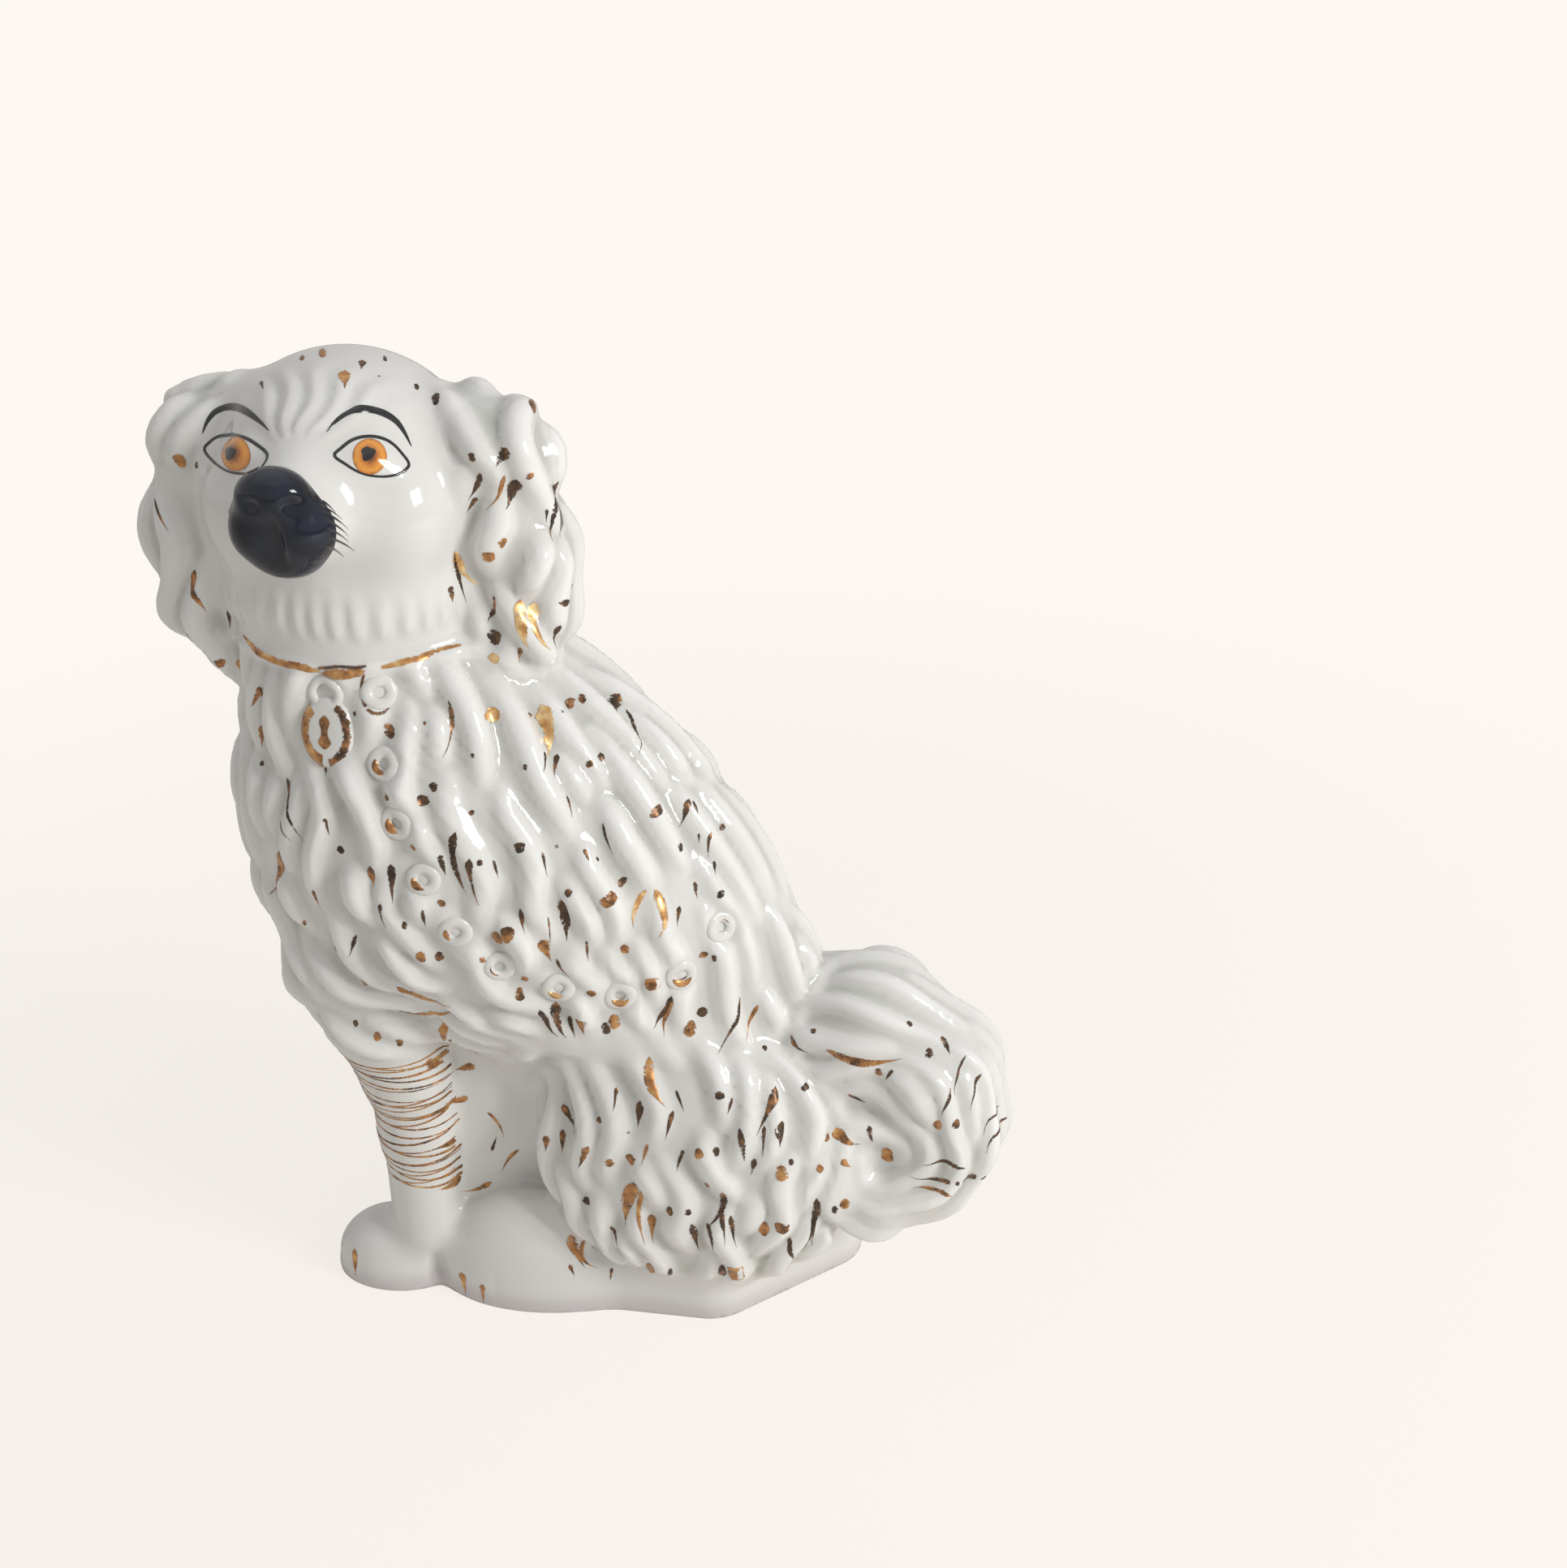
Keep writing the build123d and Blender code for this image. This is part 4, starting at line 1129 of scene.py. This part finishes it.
# arcs of gilding inside the rings, from one angle to another round their own centres
def ringArcs(centres, radius, start, stop, breadth):
    facing = facingOf(centres)
    u, v = tangents(facing)
    t = np.linspace(0, 1, gilding["rows"])
    a = np.radians(start[:, None] + (stop - start)[:, None] * t)
    lines = centres[:, None] + radius * (u[:, None] * np.cos(a)[..., None]
                                         + v[:, None] * np.sin(a)[..., None])
    return lines, breadth[:, None] / 2 * leafShape(t)


# the padlock: a low dome with a raised edge, on an oval whose two coordinates run from -1 to 1
def onPadlock(x, y, lift=0.0):
    centre = ontoGlaze(fromPhoto(np.array([ornament["lock"]], float)))
    facing = unit(facingOf(centre) + np.array(ornament["lockLean"]))
    u, v = tangents(facing)
    share = np.clip(np.hypot(x, y), 0, 1)
    rise = ornament["lockDepth"] * (1 - share ** 4) ** 0.6
    rise = rise + ornament["lockRim"] * np.exp(-((share - 0.84) / 0.09) ** 2) - ornament["lockSunk"] + lift
    points = centre + u * (x * ornament["lockWidth"])[..., None] + v * (y * ornament["lockHeight"])[..., None]
    return points + facing * rise[..., None]


# a patch of the padlock between two shares of its radius and two angles
def lockPatch(inner, outer, start, stop, lift, rings=5, spokes=49):
    share, angle = np.linspace(inner, outer, rings), np.radians(np.linspace(start, stop, spokes))
    share, angle = np.meshgrid(share, angle, indexing="ij")
    if inner == 0:
        share = np.sin(share * np.pi / 2)
    points = onPadlock(share * np.cos(angle), share * np.sin(angle), lift)
    edge = np.broadcast_to(np.linspace(-1, 1, rings)[:, None], share.shape)
    return points.reshape(-1, 3), gridFaces(1, rings, spokes), edge.ravel()


# the keyhole: its half breadth runs from a round head, by a narrow waist, to a round foot
def keyhole(rows=17, columns=5):
    t = np.linspace(-1, 1, rows)
    half = 0.11 + 0.15 * np.exp(-((t - 0.62) / 0.3) ** 2) + 0.1 * np.exp(-((t + 0.62) / 0.32) ** 2)
    half = half * np.sqrt(np.clip(1 - t ** 4, 0, 1))
    m = np.linspace(-1, 1, columns)
    tall = np.broadcast_to(-0.46 * t[:, None] + 0.02, (rows, columns))
    points = onPadlock(half[:, None] * -m, tall, ornament["keyholeLift"])
    return points.reshape(-1, 3), gridFaces(1, rows, columns)


# how deep inside a closed outline a place is: its nearest side's distance,
# signed by how often a level ray crosses it
def depthInside(p, outline):
    a, b = outline, np.roll(outline, -1, axis=0)
    along, q = b - a, p[:, None] - a
    t = np.clip((q * along).sum(-1) / np.maximum((along ** 2).sum(-1), 1e-9), 0, 1)
    far = np.sqrt(((q - t[..., None] * along) ** 2).sum(-1)).min(1)
    spans = (a[:, 1] > p[:, None, 1]) != (b[:, 1] > p[:, None, 1])
    climb = np.where(along[:, 1] == 0, 1, along[:, 1])
    reach = np.where(spans, (p[:, None, 1] - a[:, 1]) / climb * along[:, 0] + a[:, 0], 0)
    return np.where((spans & (p[:, None, 0] < reach)).sum(1) % 2 == 1, far, -far)


# behind the back no enamel lies, and before the tip all is enamelled
muzzlePaint = {
    "edge": [(292, 607), (305, 597), (321, 588), (337, 584), (352, 585), (366, 593), (377, 607), (388, 621),
             (401, 631), (406, 647), (402, 670), (398, 690), (389, 702), (374, 709), (357, 711), (337, 715),
             (317, 710), (299, 699), (287, 684), (279, 665), (278, 645), (284, 624)],
    "points": 81, "back": -44, "tip": -54.5, "fillet": 3, "none": -9.0,
}
outline = throughPoints(muzzlePaint["edge"], muzzlePaint["points"], closed=True)[:-1]
muzzleDepth = np.full(len(place), muzzlePaint["none"])
forward = isHead & (place[:, 1] < muzzlePaint["back"])
drawn = depthInside(toPhoto(place[forward]), outline) * mmPerPixel(place[forward])
drawn = np.minimum(drawn, muzzlePaint["back"] - place[forward][:, 1])
muzzleDepth[forward] = -blend(-drawn, place[forward][:, 1] - muzzlePaint["tip"], muzzlePaint["fillet"])
print("muzzle", int((muzzleDepth > 0).sum()), "vertices inside")


# Materials

# one socket of a node, with the sums that shader maths needs
class Sock:
    def __init__(self, tree, socket):
        self.tree, self.socket = tree, socket

    def op(self, operation, *others):
        return self.tree.add("ShaderNodeMath", {"operation": operation}, dict(enumerate([self, *others])))

    def __add__(self, other): return self.op("ADD", other)
    def __radd__(self, other): return self.op("ADD", other)
    def __sub__(self, other): return self.op("SUBTRACT", other)
    def __rsub__(self, other): return (self * -1).op("ADD", other)
    def __mul__(self, other): return self.op("MULTIPLY", other)
    def __rmul__(self, other): return self.op("MULTIPLY", other)


# the nodes of a material or of the world
class Tree:
    def __init__(self, owner):
        self.owner = owner
        owner.use_nodes = True
        self.nodes, self.links = owner.node_tree.nodes, owner.node_tree.links
        self.nodes.clear()

    # any node: its type, its settings, which are set first, and the values or links of its sockets
    def add(self, kind, settings=None, inputs=None, out=0):
        node = self.nodes.new(kind)
        for name, value in (settings or {}).items():
            if name == "ramp":
                stops = node.color_ramp.elements
                while len(stops) < len(value):
                    stops.new(0.5)
                for stop, (position, colour) in zip(stops, value):
                    stop.position, stop.color = position, (*colour, 1)
            else:
                setattr(node, name, value)
        for name, value in (inputs or {}).items():
            if isinstance(value, Sock):
                self.links.new(value.socket, node.inputs[name])
            else:
                node.inputs[name].default_value = value
        return None if out is None else Sock(self, node.outputs[out])

    # the place in the piece's own coordinates, in metres
    def place(self):
        return self.add("ShaderNodeTexCoord", out="Object")

    # the height above the table, in metres
    def height(self):
        return self.add("ShaderNodeSeparateXYZ", {}, {"Vector": self.place()}, out="Z")

    # a value that the mesh holds for each vertex
    def attribute(self, name):
        return self.add("ShaderNodeAttribute", {"attribute_name": name}, out="Fac")

    # soft noise from 0 to 1, with so many waves in a metre
    def noise(self, scale, detail=3, roughness=0.5):
        values = {"Vector": self.place(), "Scale": scale, "Detail": detail, "Roughness": roughness}
        return self.add("ShaderNodeTexNoise", {}, values)

    # from 0 to 1 between two values, eased at both ends
    def range(self, value, low, high):
        values = {"Value": value, "From Min": low, "From Max": high}
        return self.add("ShaderNodeMapRange", {"interpolation_type": "SMOOTHSTEP"}, values)

    # a colour between two others: the first at share 0, the second at share 1
    def mix(self, share, a, b):
        return self.add("ShaderNodeMix", {"data_type": "RGBA"}, {0: share, 6: a, 7: b}, out=2)

    # a colour that goes from stop to stop as the value grows
    def ramp(self, value, stops):
        return self.add("ShaderNodeValToRGB", {"ramp": stops}, {"Fac": value})

    # the normal as a height of so many metres would turn it
    def bump(self, height, strength, distance):
        return self.add("ShaderNodeBump", {}, {"Strength": strength, "Distance": distance, "Height": height})

    # the shader with its values, led to the output
    def finish(self, values):
        shader = self.add("ShaderNodeBsdfPrincipled", {}, values)
        self.add("ShaderNodeOutputMaterial", {}, {"Surface": shader}, out=None)
        return self.owner


# a material's empty tree
def newMaterial(name):
    return Tree(bpy.data.materials.new(name))


glazeLook = {
    # ridge is a painted highlight; pool is the grey-green of glaze pooled in the hollows, darkened further as
    # painted shade
    "white": (0.74, 0.735, 0.715, 1), "ridge": (0.82, 0.815, 0.80, 1), "pool": (0.47, 0.475, 0.44, 1),
    "lowHollowBrown": (0.30, 0.25, 0.20, 1), "edge": (0.58, 0.54, 0.56, 1), "speck": (0.08, 0.07, 0.07, 1),
    "enamel": (0.003, 0.005, 0.012, 1), "enamelPale": (0.008, 0.014, 0.03, 1),
    # where each begins and ends: by the height over the coat's mean in
    # mm, by the height in m, or by the noise
    "pooledAndShaded": (-0.1, -1.7), "proud": (0.1, 1.2), "foot": (0.0125, 0.0045), "lowHollowPatches": (0.52, 0.68),
    "deep": (-0.5, -1.6), "low": (0.05, 0.025), "specks": (0.038, 0.018), "inside": (-0.12, 0.12),
    "pale": (0.4, 0.7), "gloss": 0.06, "coat": 0.15, "coatRoughness": 0.03, "index": 1.5,
}


# glaze: a painted highlight on the ridges; grey-green in the hollows, where the glaze has pooled and is
# darkened further as painted shade; darker brown patches in the deep hollows low down; a lilac-grey foot,
# faint clouds and a few specks of iron; on the head, blue-black enamel inside the painted edge of the muzzle
def makeGlaze(name, enamelled):
    tree, look = newMaterial(name), glazeLook
    cavity = tree.attribute("cavity")
    # painted highlight on the ridges, and painted shade over the pooled grey-green in the hollows
    pooledAndShaded, proud = tree.range(cavity, *look["pooledAndShaded"]), tree.range(cavity, *look["proud"])
    colour = tree.mix(proud, look["white"], look["ridge"])
    colour = tree.mix(pooledAndShaded * (0.5 + tree.noise(18, 4) * 0.6), colour, look["pool"])
    foot = tree.range(tree.height() + tree.noise(30, 3) * 0.006, *look["foot"])
    colour = tree.mix(foot * 0.75, colour, look["edge"])
    # darker brown in noise patches in the deep hollows, low on the figure
    lowHollowDark = tree.range(tree.noise(70, 4), *look["lowHollowPatches"]) * tree.range(cavity, *look["deep"])
    colour = tree.mix(lowHollowDark * tree.range(tree.height(), *look["low"]) * 0.8, colour, look["lowHollowBrown"])
    specks = tree.add("ShaderNodeTexVoronoi", {"feature": "F1"}, {"Vector": tree.place(), "Scale": 48.0})
    colour, coat = tree.mix(tree.range(specks, *look["specks"]) * 0.75, colour, look["speck"]), look["coat"]
    if enamelled:
        inside = tree.range(tree.attribute("muzzle") + (tree.noise(500, 2) - 0.5) * 0.35, *look["inside"])
        enamel = tree.mix(tree.range(tree.noise(70, 3), *look["pale"]), look["enamel"], look["enamelPale"])
        colour, coat = tree.mix(inside, colour, enamel), look["coat"] - look["coat"] * inside
    return tree.finish({
        "Base Color": colour, "Roughness": look["gloss"] + tree.noise(9, 2) * 0.07, "IOR": look["index"],
        "Normal": tree.bump(tree.noise(60, 2), 0.1, 0.0006),
        "Coat Weight": coat, "Coat Roughness": look["coatRoughness"],
    })


gildLook = {
    "stops": [(0.0, (0.045, 0.028, 0.018)), (0.28, (0.13, 0.072, 0.038)), (0.5, (0.45, 0.21, 0.08)),
              (0.75, (0.68, 0.38, 0.15)), (1.0, (0.95, 0.72, 0.38))],
    "left": (0.22, 0.32), "metallic": 0.65,
}


# gilding: from dark brown to bright gold by the stroke's tone, which is partly the gold's wear and partly
# painted reflection, and by patches, rubbed through in grains near its edges
def makeGilding():
    tree = newMaterial("wornGilding")
    tone, edge = tree.attribute("tone"), tree.attribute("edge")
    patch = tree.noise(210, 3, 0.6)
    colour = tree.ramp(tone * 0.62 + (patch - 0.5) * 1.5 + 0.2, gildLook["stops"])
    grain = tree.noise(1300, 2, 0.6) + (tree.noise(260, 2) - 0.5) * 0.5
    left = tree.range(grain - edge * edge * 0.24, *gildLook["left"])
    return tree.finish({
        "Base Color": colour, "Metallic": gildLook["metallic"], "Roughness": 0.2 + patch * 0.25,
        "Alpha": left * (0.86 + 0.14 * tone), "Normal": tree.bump(tree.noise(900, 2), 0.12, 0.0003),
    })


paintLook = {
    "black": (0.006, 0.006, 0.009, 1), "thin": (0.03, 0.028, 0.03, 1), "coat": 0.3,
    "iris": [(0.0, (0.20, 0.07, 0.02)), (0.34, (0.30, 0.10, 0.02)), (0.5, (0.62, 0.22, 0.03)),
             (0.72, (0.80, 0.34, 0.05)), (0.88, (0.72, 0.27, 0.04)), (1.0, (0.42, 0.15, 0.03))],
    "irisCoat": 0.5,
}


# paint: black, and a little thinner and browner in soft patches
def makePaint():
    tree = newMaterial("blackPaint")
    colour = tree.mix(tree.noise(300, 3), paintLook["black"], paintLook["thin"])
    gloss = 0.12 + tree.noise(90, 2) * 0.1
    return tree.finish({"Base Color": colour, "Roughness": gloss, "Coat Weight": paintLook["coat"]})


# iris: orange, with a brushed brown ring half way out and paler streaks round it, by the share of its radius
def makeIris():
    tree = newMaterial("orangeIris")
    share, streak = tree.attribute("share"), tree.noise(600, 3, 0.6)
    colour = tree.ramp(share + (streak - 0.5) * 0.34, paintLook["iris"])
    gloss = 0.1 + streak * 0.08
    return tree.finish({"Base Color": colour, "Roughness": gloss, "Coat Weight": paintLook["irisCoat"]})


clayLook = {
    "pale": (0.74, 0.68, 0.58, 1), "dull": (0.60, 0.53, 0.44, 1), "grit": (0.30, 0.24, 0.18, 1),
    "gritty": (0.62, 0.72),
}


# bare clay: pale and dull clouds, with dark grit and a rough grain
def makeClay():
    tree = newMaterial("bareClay")
    grain = tree.noise(420, 5, 0.65)
    colour = tree.mix(tree.noise(26, 4), clayLook["pale"], clayLook["dull"])
    colour = tree.mix(tree.range(grain, *clayLook["gritty"]) * 0.5, colour, clayLook["grit"])
    rough = 0.75 + grain * 0.2
    return tree.finish({"Base Color": colour, "Roughness": rough, "Normal": tree.bump(grain, 0.35, 0.0005)})


whiteGlaze, headGlaze = makeGlaze("whiteGlaze", False), makeGlaze("headGlaze", True)
wornGilding, blackPaint, orangeIris, bareClay = makeGilding(), makePaint(), makeIris(), makeClay()
weldReach = 2e-6


# one mesh from points and faces, in metres, hung on the root, with the nodes that it replaces hidden; poles
# and seams are welded
def addPiece(name, points, faces, material, slot, replaced=(), attributes=None, normals=None):
    mesh = bpy.data.meshes.new(name)
    mesh.vertices.add(len(points))
    mesh.vertices.foreach_set("co", (points * metresPerMm).astype(np.float32).ravel())
    sides = faces.shape[1]
    mesh.loops.add(faces.size)
    mesh.loops.foreach_set("vertex_index", faces.astype(np.int32).ravel())
    mesh.polygons.add(len(faces))
    mesh.polygons.foreach_set("loop_start", np.arange(0, faces.size, sides, dtype=np.int32))
    mesh.update(calc_edges=True)
    for key, values in (attributes or {}).items():
        mesh.attributes.new(key, "FLOAT", "POINT").data.foreach_set("value", values.astype(np.float32))
    mesh.polygons.foreach_set("use_smooth", np.full(len(faces), True))
    if normals is not None:
        mesh.normals_split_custom_set_from_vertices(normals)
    else:
        work = bmesh.new()
        work.from_mesh(mesh)
        bmesh.ops.remove_doubles(work, verts=work.verts, dist=weldReach)
        work.to_mesh(mesh)
        work.free()
    mesh.materials.append(material)
    piece = bpy.data.objects.new(name, mesh)
    bpy.context.scene.collection.objects.link(piece)
    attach(piece, "root")
    if replaced:
        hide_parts(*replaced)


# The glazed skin, one piece for each node that it covers, cut where the figure's presses meet

front = place[:, 1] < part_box("body_front_press")[1].y / metresPerMm
labels = np.array(names, object)[owner]
for kind in ("body", "head"):
    labels[isPart(kind) & front] = kind + "_front_press"
    labels[isPart(kind) & ~front] = kind + "_back_press"
labels[isEar & (place[:, 0] < headX)] = "ear_right"
labels[isEar & (place[:, 0] >= headX)] = "ear_left"
slots = {"plinth": "glazed_plinth", "tail": "glazed_tail", "ear_left": "glazed_ear",
         "ear_right": "glazed_ear"}
kinds, labelNumber = np.unique(labels.astype(str), return_inverse=True)

# the skin is open below, where the slab lies
slabLow, slabHigh = (np.array(corner)[:2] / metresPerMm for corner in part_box("base_slab"))
middles, underside = place[quads].mean(1), 0.05
overSlab = (np.abs(middles[:, :2] - (slabLow + slabHigh) / 2) < (slabHigh - slabLow) / 2).all(1)
overSlab &= middles[:, 2] < underside
faceLabel = np.where(overSlab, -1, labelNumber[quads[:, 0]])
for number, kind in enumerate(kinds):
    mine = quads[faceLabel == number]
    used, local = np.unique(mine, return_inverse=True)
    slot = slots.get(kind, "glazed_body" if "body" in kind else "glazed_head" if "head" in kind
                     else "glazed_leg")
    glaze = headGlaze if "head" in kind else whiteGlaze
    addPiece(kind + "_glazed", place[used], local.reshape(-1, 4), glaze, slot, [kind],
             {"cavity": cavity[used], "muzzle": muzzleDepth[used]}, shade[used])
    print("piece", kind, len(mine), "faces")

# Painted and gilt pieces

points, faces, tone, edge = gildStrokes()
addPiece("gilt_strokes", points, faces, wornGilding, "gilt_ornament", (), {"tone": tone, "edge": edge})
irises, pupils, blackLines = paintFace()
for side, (points, faces, share) in zip(("near", "far"), irises):
    addPiece("iris_" + side, points, faces, orangeIris, "glazed_head", (), {"share": share})
addPiece("pupils", *joined(pupils), blackPaint, "glazed_head")
addPiece("face_lines", *joined(blackLines), blackPaint, "glazed_head")
print("strokes and face are painted")

# the chain's rings, the padlock's ring and the padlock, in white glaze
linkCentres = ontoGlaze(fromPhoto(np.array(ornament["links"], float)))
shackleCentre = ontoGlaze(fromPhoto(np.array([ornament["shackle"]], float)))
for node, centres, size in (("chain_links", linkCentres, "link"),
                            ("padlock_shackle", shackleCentre, "shackle")):
    points, faces = surfaceRings(centres, *(ornament[size + key] for key in ("Radius", "Half", "Height")))
    addPiece(node + "_glazed", points, faces, whiteGlaze, "gilt_ornament", [node])
points, faces, _ = lockPatch(0, 1, 0, 360, 0, 9)
addPiece("padlock_glazed", points, faces, whiteGlaze, "gilt_ornament", ["padlock"])


# gilding in one piece: each set has its lines, their half breadths, their lift and their tone
def addGilt(name, sets, replaced=()):
    parts = [ribbons(lines, half, lift) for lines, half, lift, _ in sets]
    tones = np.concatenate([np.full(p.size // 3, tone) for (p, _), (_, _, _, tone) in zip(parts, sets)])
    edges = np.concatenate([np.tile(np.linspace(-1, 1, p.shape[2]), p.shape[0] * p.shape[1])
                            for p, _ in parts])
    addPiece(name, *joined(parts), wornGilding, "gilt_ornament", replaced, {"tone": tones, "edge": edges})


# a buckle's bar: even, with square ends
def barShape(t):
    return np.clip(8 * (0.5 - np.abs(t - 0.5)), 0.2, 1)


# a line of one breadth
def evenShape(t):
    return 0.8 + 0 * t


# the gilt collar: line, breadth in pixels, lift in mm, tone and shape
# the tones here, as in all the gilding, are partly wear and partly painted reflection
collarGilding = [
    (ornament["collar"], ornament["collarBreadth"], 0.15, 0.62, lineShape),
    (ornament["collarEnd"], ornament["collarEndBreadth"], 0.15, 0.78, lineShape),
    (ornament["buckle"], ornament["buckleBreadth"], 0.5, 0.6, barShape),
    (ornament["buckleTop"], ornament["buckleTopBreadth"], 0.75, 0.05, evenShape),
    (ornament["drop"], ornament["dropBreadth"], 0.35, 0.2, lineShape),
]
addGilt("collar_gilding", [(*photoLine(line, breadth, shape), lift, tone)
                           for line, breadth, lift, tone, shape in collarGilding], ["collar_band"])

# the gilding inside the rings of the chain, and the studs between them
chainGilding = {
    "angles": [(150, 275), (150, 275), (165, 280), (150, 240), (160, 265), (190, 300), (200, 345), (190, 340),
               (20, 70)],
    "breadths": [3.2, 3.2, 3.0, 2.2, 1.2, 2.8, 3.2, 3.0, 0.8], "share": 0.82, "lift": 1.25, "tone": 0.5,
    "studs": [(483, 902, 476, 893), (480, 986, 474, 979), (512, 1048, 505, 1042), (548, 1118, 540, 1112),
              (598, 1184, 590, 1178), (650, 1212, 642, 1208), (733, 1223, 724, 1221), (806, 1208, 797, 1211),
              (872, 1176, 864, 1182)],
    "studBreadth": 7, "studLift": 0.5, "studTone": 0.35,
}
angles = np.array(chainGilding["angles"], float)
arcs = ringArcs(linkCentres[1:], ornament["linkRadius"] * chainGilding["share"], angles[:, 0], angles[:, 1],
                np.array(chainGilding["breadths"]))
addGilt("chain_gilding", [(*arcs, chainGilding["lift"], chainGilding["tone"])])
studRows = [(*stud, chainGilding["studBreadth"], chainGilding["studTone"], 0)
            for stud in chainGilding["studs"]]
lines, half, _ = strokeSet(studRows, dotShape)
addGilt("chain_studs_gilt", [(lines, half, chainGilding["studLift"], chainGilding["studTone"])],
        ["chain_studs"])

# the padlock's gilt rim, bright on one side and dark on the other as painted reflection, more rubbed through
# on the dark side, and its keyhole
for name, patch, tone in (("rim_gilding", lockPatch(0.60, 0.99, 128, 262, 0.1), 0.66),
                          ("rim_worn_gilding", lockPatch(0.62, 0.96, -80, 62, 0.1), 0.2)):
    addPiece("padlock_" + name, *patch[:2], wornGilding, "gilt_ornament", (),
             {"tone": np.full(len(patch[2]), tone), "edge": patch[2] * (1.0 if tone > 0.5 else 1.5)})
points, faces = keyhole()
addPiece("padlock_keyhole", points, faces, wornGilding, "gilt_ornament", (),
         {"tone": np.full(len(points), 0.3), "edge": np.zeros(len(points))})

# the inner pieces that stay as they are in the CAD
for node in ("base_slab", "body_seam_rolls", "head_seam_roll", "neck_luting_ring"):
    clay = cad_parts[node].data.materials
    for number in range(len(clay)):
        clay[number] = bareClay

# Floor, light and camera

stageLook = {
    "floor": (0.94, 0.90, 0.855, 1), "backdrop": (0.984, 0.938, 0.888, 1), "reach": 6.0, "near": 0.15,
    "far": 0.8, "least": 0.8, "room": (0.98, 0.975, 0.96, 1), "roomStrength": 0.42, "gloss": 0.4,
}
lamps = {
    # a window of two panes to the right, and a soft ceiling: place, target, size, power, colour
    "windowLeft": ((1.20, -0.62, 0.84), (0, 0, 0.15), (0.17, 0.46), 7.2, (1.0, 0.99, 0.97)),
    "windowRight": ((1.31, -0.41, 0.84), (0, 0, 0.15), (0.17, 0.46), 7.2, (1.0, 0.99, 0.97)),
    "ceiling": ((-0.2, 0.1, 1.6), (0, 0, 0.1), (1.6, 1.6), 2.0, (0.96, 0.98, 1.0)),
}


# floor: a dull pale ground that keeps the shadow; away from the figure,
# the camera sees more of its plain colour
def makeStage():
    tree = newMaterial("paleFloor")
    ground = tree.add("ShaderNodeBsdfDiffuse", {}, {"Color": stageLook["floor"]})
    plain = tree.add("ShaderNodeEmission", {}, {"Color": stageLook["backdrop"], "Strength": 1.0})
    away = tree.add("ShaderNodeVectorMath", {"operation": "LENGTH"}, {0: tree.place()}, out=1)
    seen = tree.add("ShaderNodeLightPath", out="Is Camera Ray")
    least = stageLook["least"]
    share = seen * (least + (1 - least) * tree.range(away, stageLook["near"], stageLook["far"]))
    shader = tree.add("ShaderNodeMixShader", {}, {0: share, 1: ground, 2: plain})
    tree.add("ShaderNodeOutputMaterial", {}, {"Surface": shader}, out=None)
    mesh = bpy.data.meshes.new("floor")
    r = stageLook["reach"]
    mesh.from_pydata([(-r, -r, 0), (r, -r, 0), (r, r, 0), (-r, r, 0)], [], [(0, 1, 2, 3)])
    mesh.materials.append(tree.owner)
    floor = bpy.data.objects.new("floor", mesh)
    bpy.context.scene.collection.objects.link(floor)


# the room: an even soft light, which the camera sees as the plain backdrop, and the gloss in part
def makeRoom():
    tree = Tree(bpy.data.worlds.new("room"))
    light = tree.add("ShaderNodeBackground", {},
                     {"Color": stageLook["room"], "Strength": stageLook["roomStrength"]})
    plain = tree.add("ShaderNodeBackground", {}, {"Color": stageLook["backdrop"]})
    glossy = tree.add("ShaderNodeLightPath", out="Is Glossy Ray") * stageLook["gloss"]
    seen = tree.add("ShaderNodeLightPath", out="Is Camera Ray").op("MAXIMUM", glossy)
    shader = tree.add("ShaderNodeMixShader", {}, {0: seen, 1: light, 2: plain})
    tree.add("ShaderNodeOutputWorld", {}, {"Surface": shader}, out=None)
    bpy.context.scene.world = tree.owner


# a lamp or camera at its place, turned so that it looks along a direction
def aimed(thing, place, way):
    bpy.context.scene.collection.objects.link(thing)
    thing.location = place
    thing.rotation_mode = "QUATERNION"
    thing.rotation_quaternion = Vector(way).to_track_quat("-Z", "Y")
    return thing


makeStage()
makeRoom()
for name, (spot, target, size, power, colour) in lamps.items():
    lamp = bpy.data.lights.new(name, "AREA")
    lamp.shape, lamp.size, lamp.size_y = "RECTANGLE", *size
    lamp.energy, lamp.color = power, colour
    aimed(bpy.data.objects.new(name, lamp), spot, np.array(target) - np.array(spot))

camera = bpy.data.cameras.new("camera")
camera.sensor_width = 36
camera.lens = camera.sensor_width * cameraSet["focal"] / cameraSet["frame"][1]
camera.clip_start, camera.clip_end = 0.01, 50
eyeSpot = [metresPerMm * v for v in cameraSet["place"]]
bpy.context.scene.camera = aimed(bpy.data.objects.new("camera", camera), eyeSpot, cameraSet["forward"])
bpy.context.scene.view_settings.view_transform = "Standard"
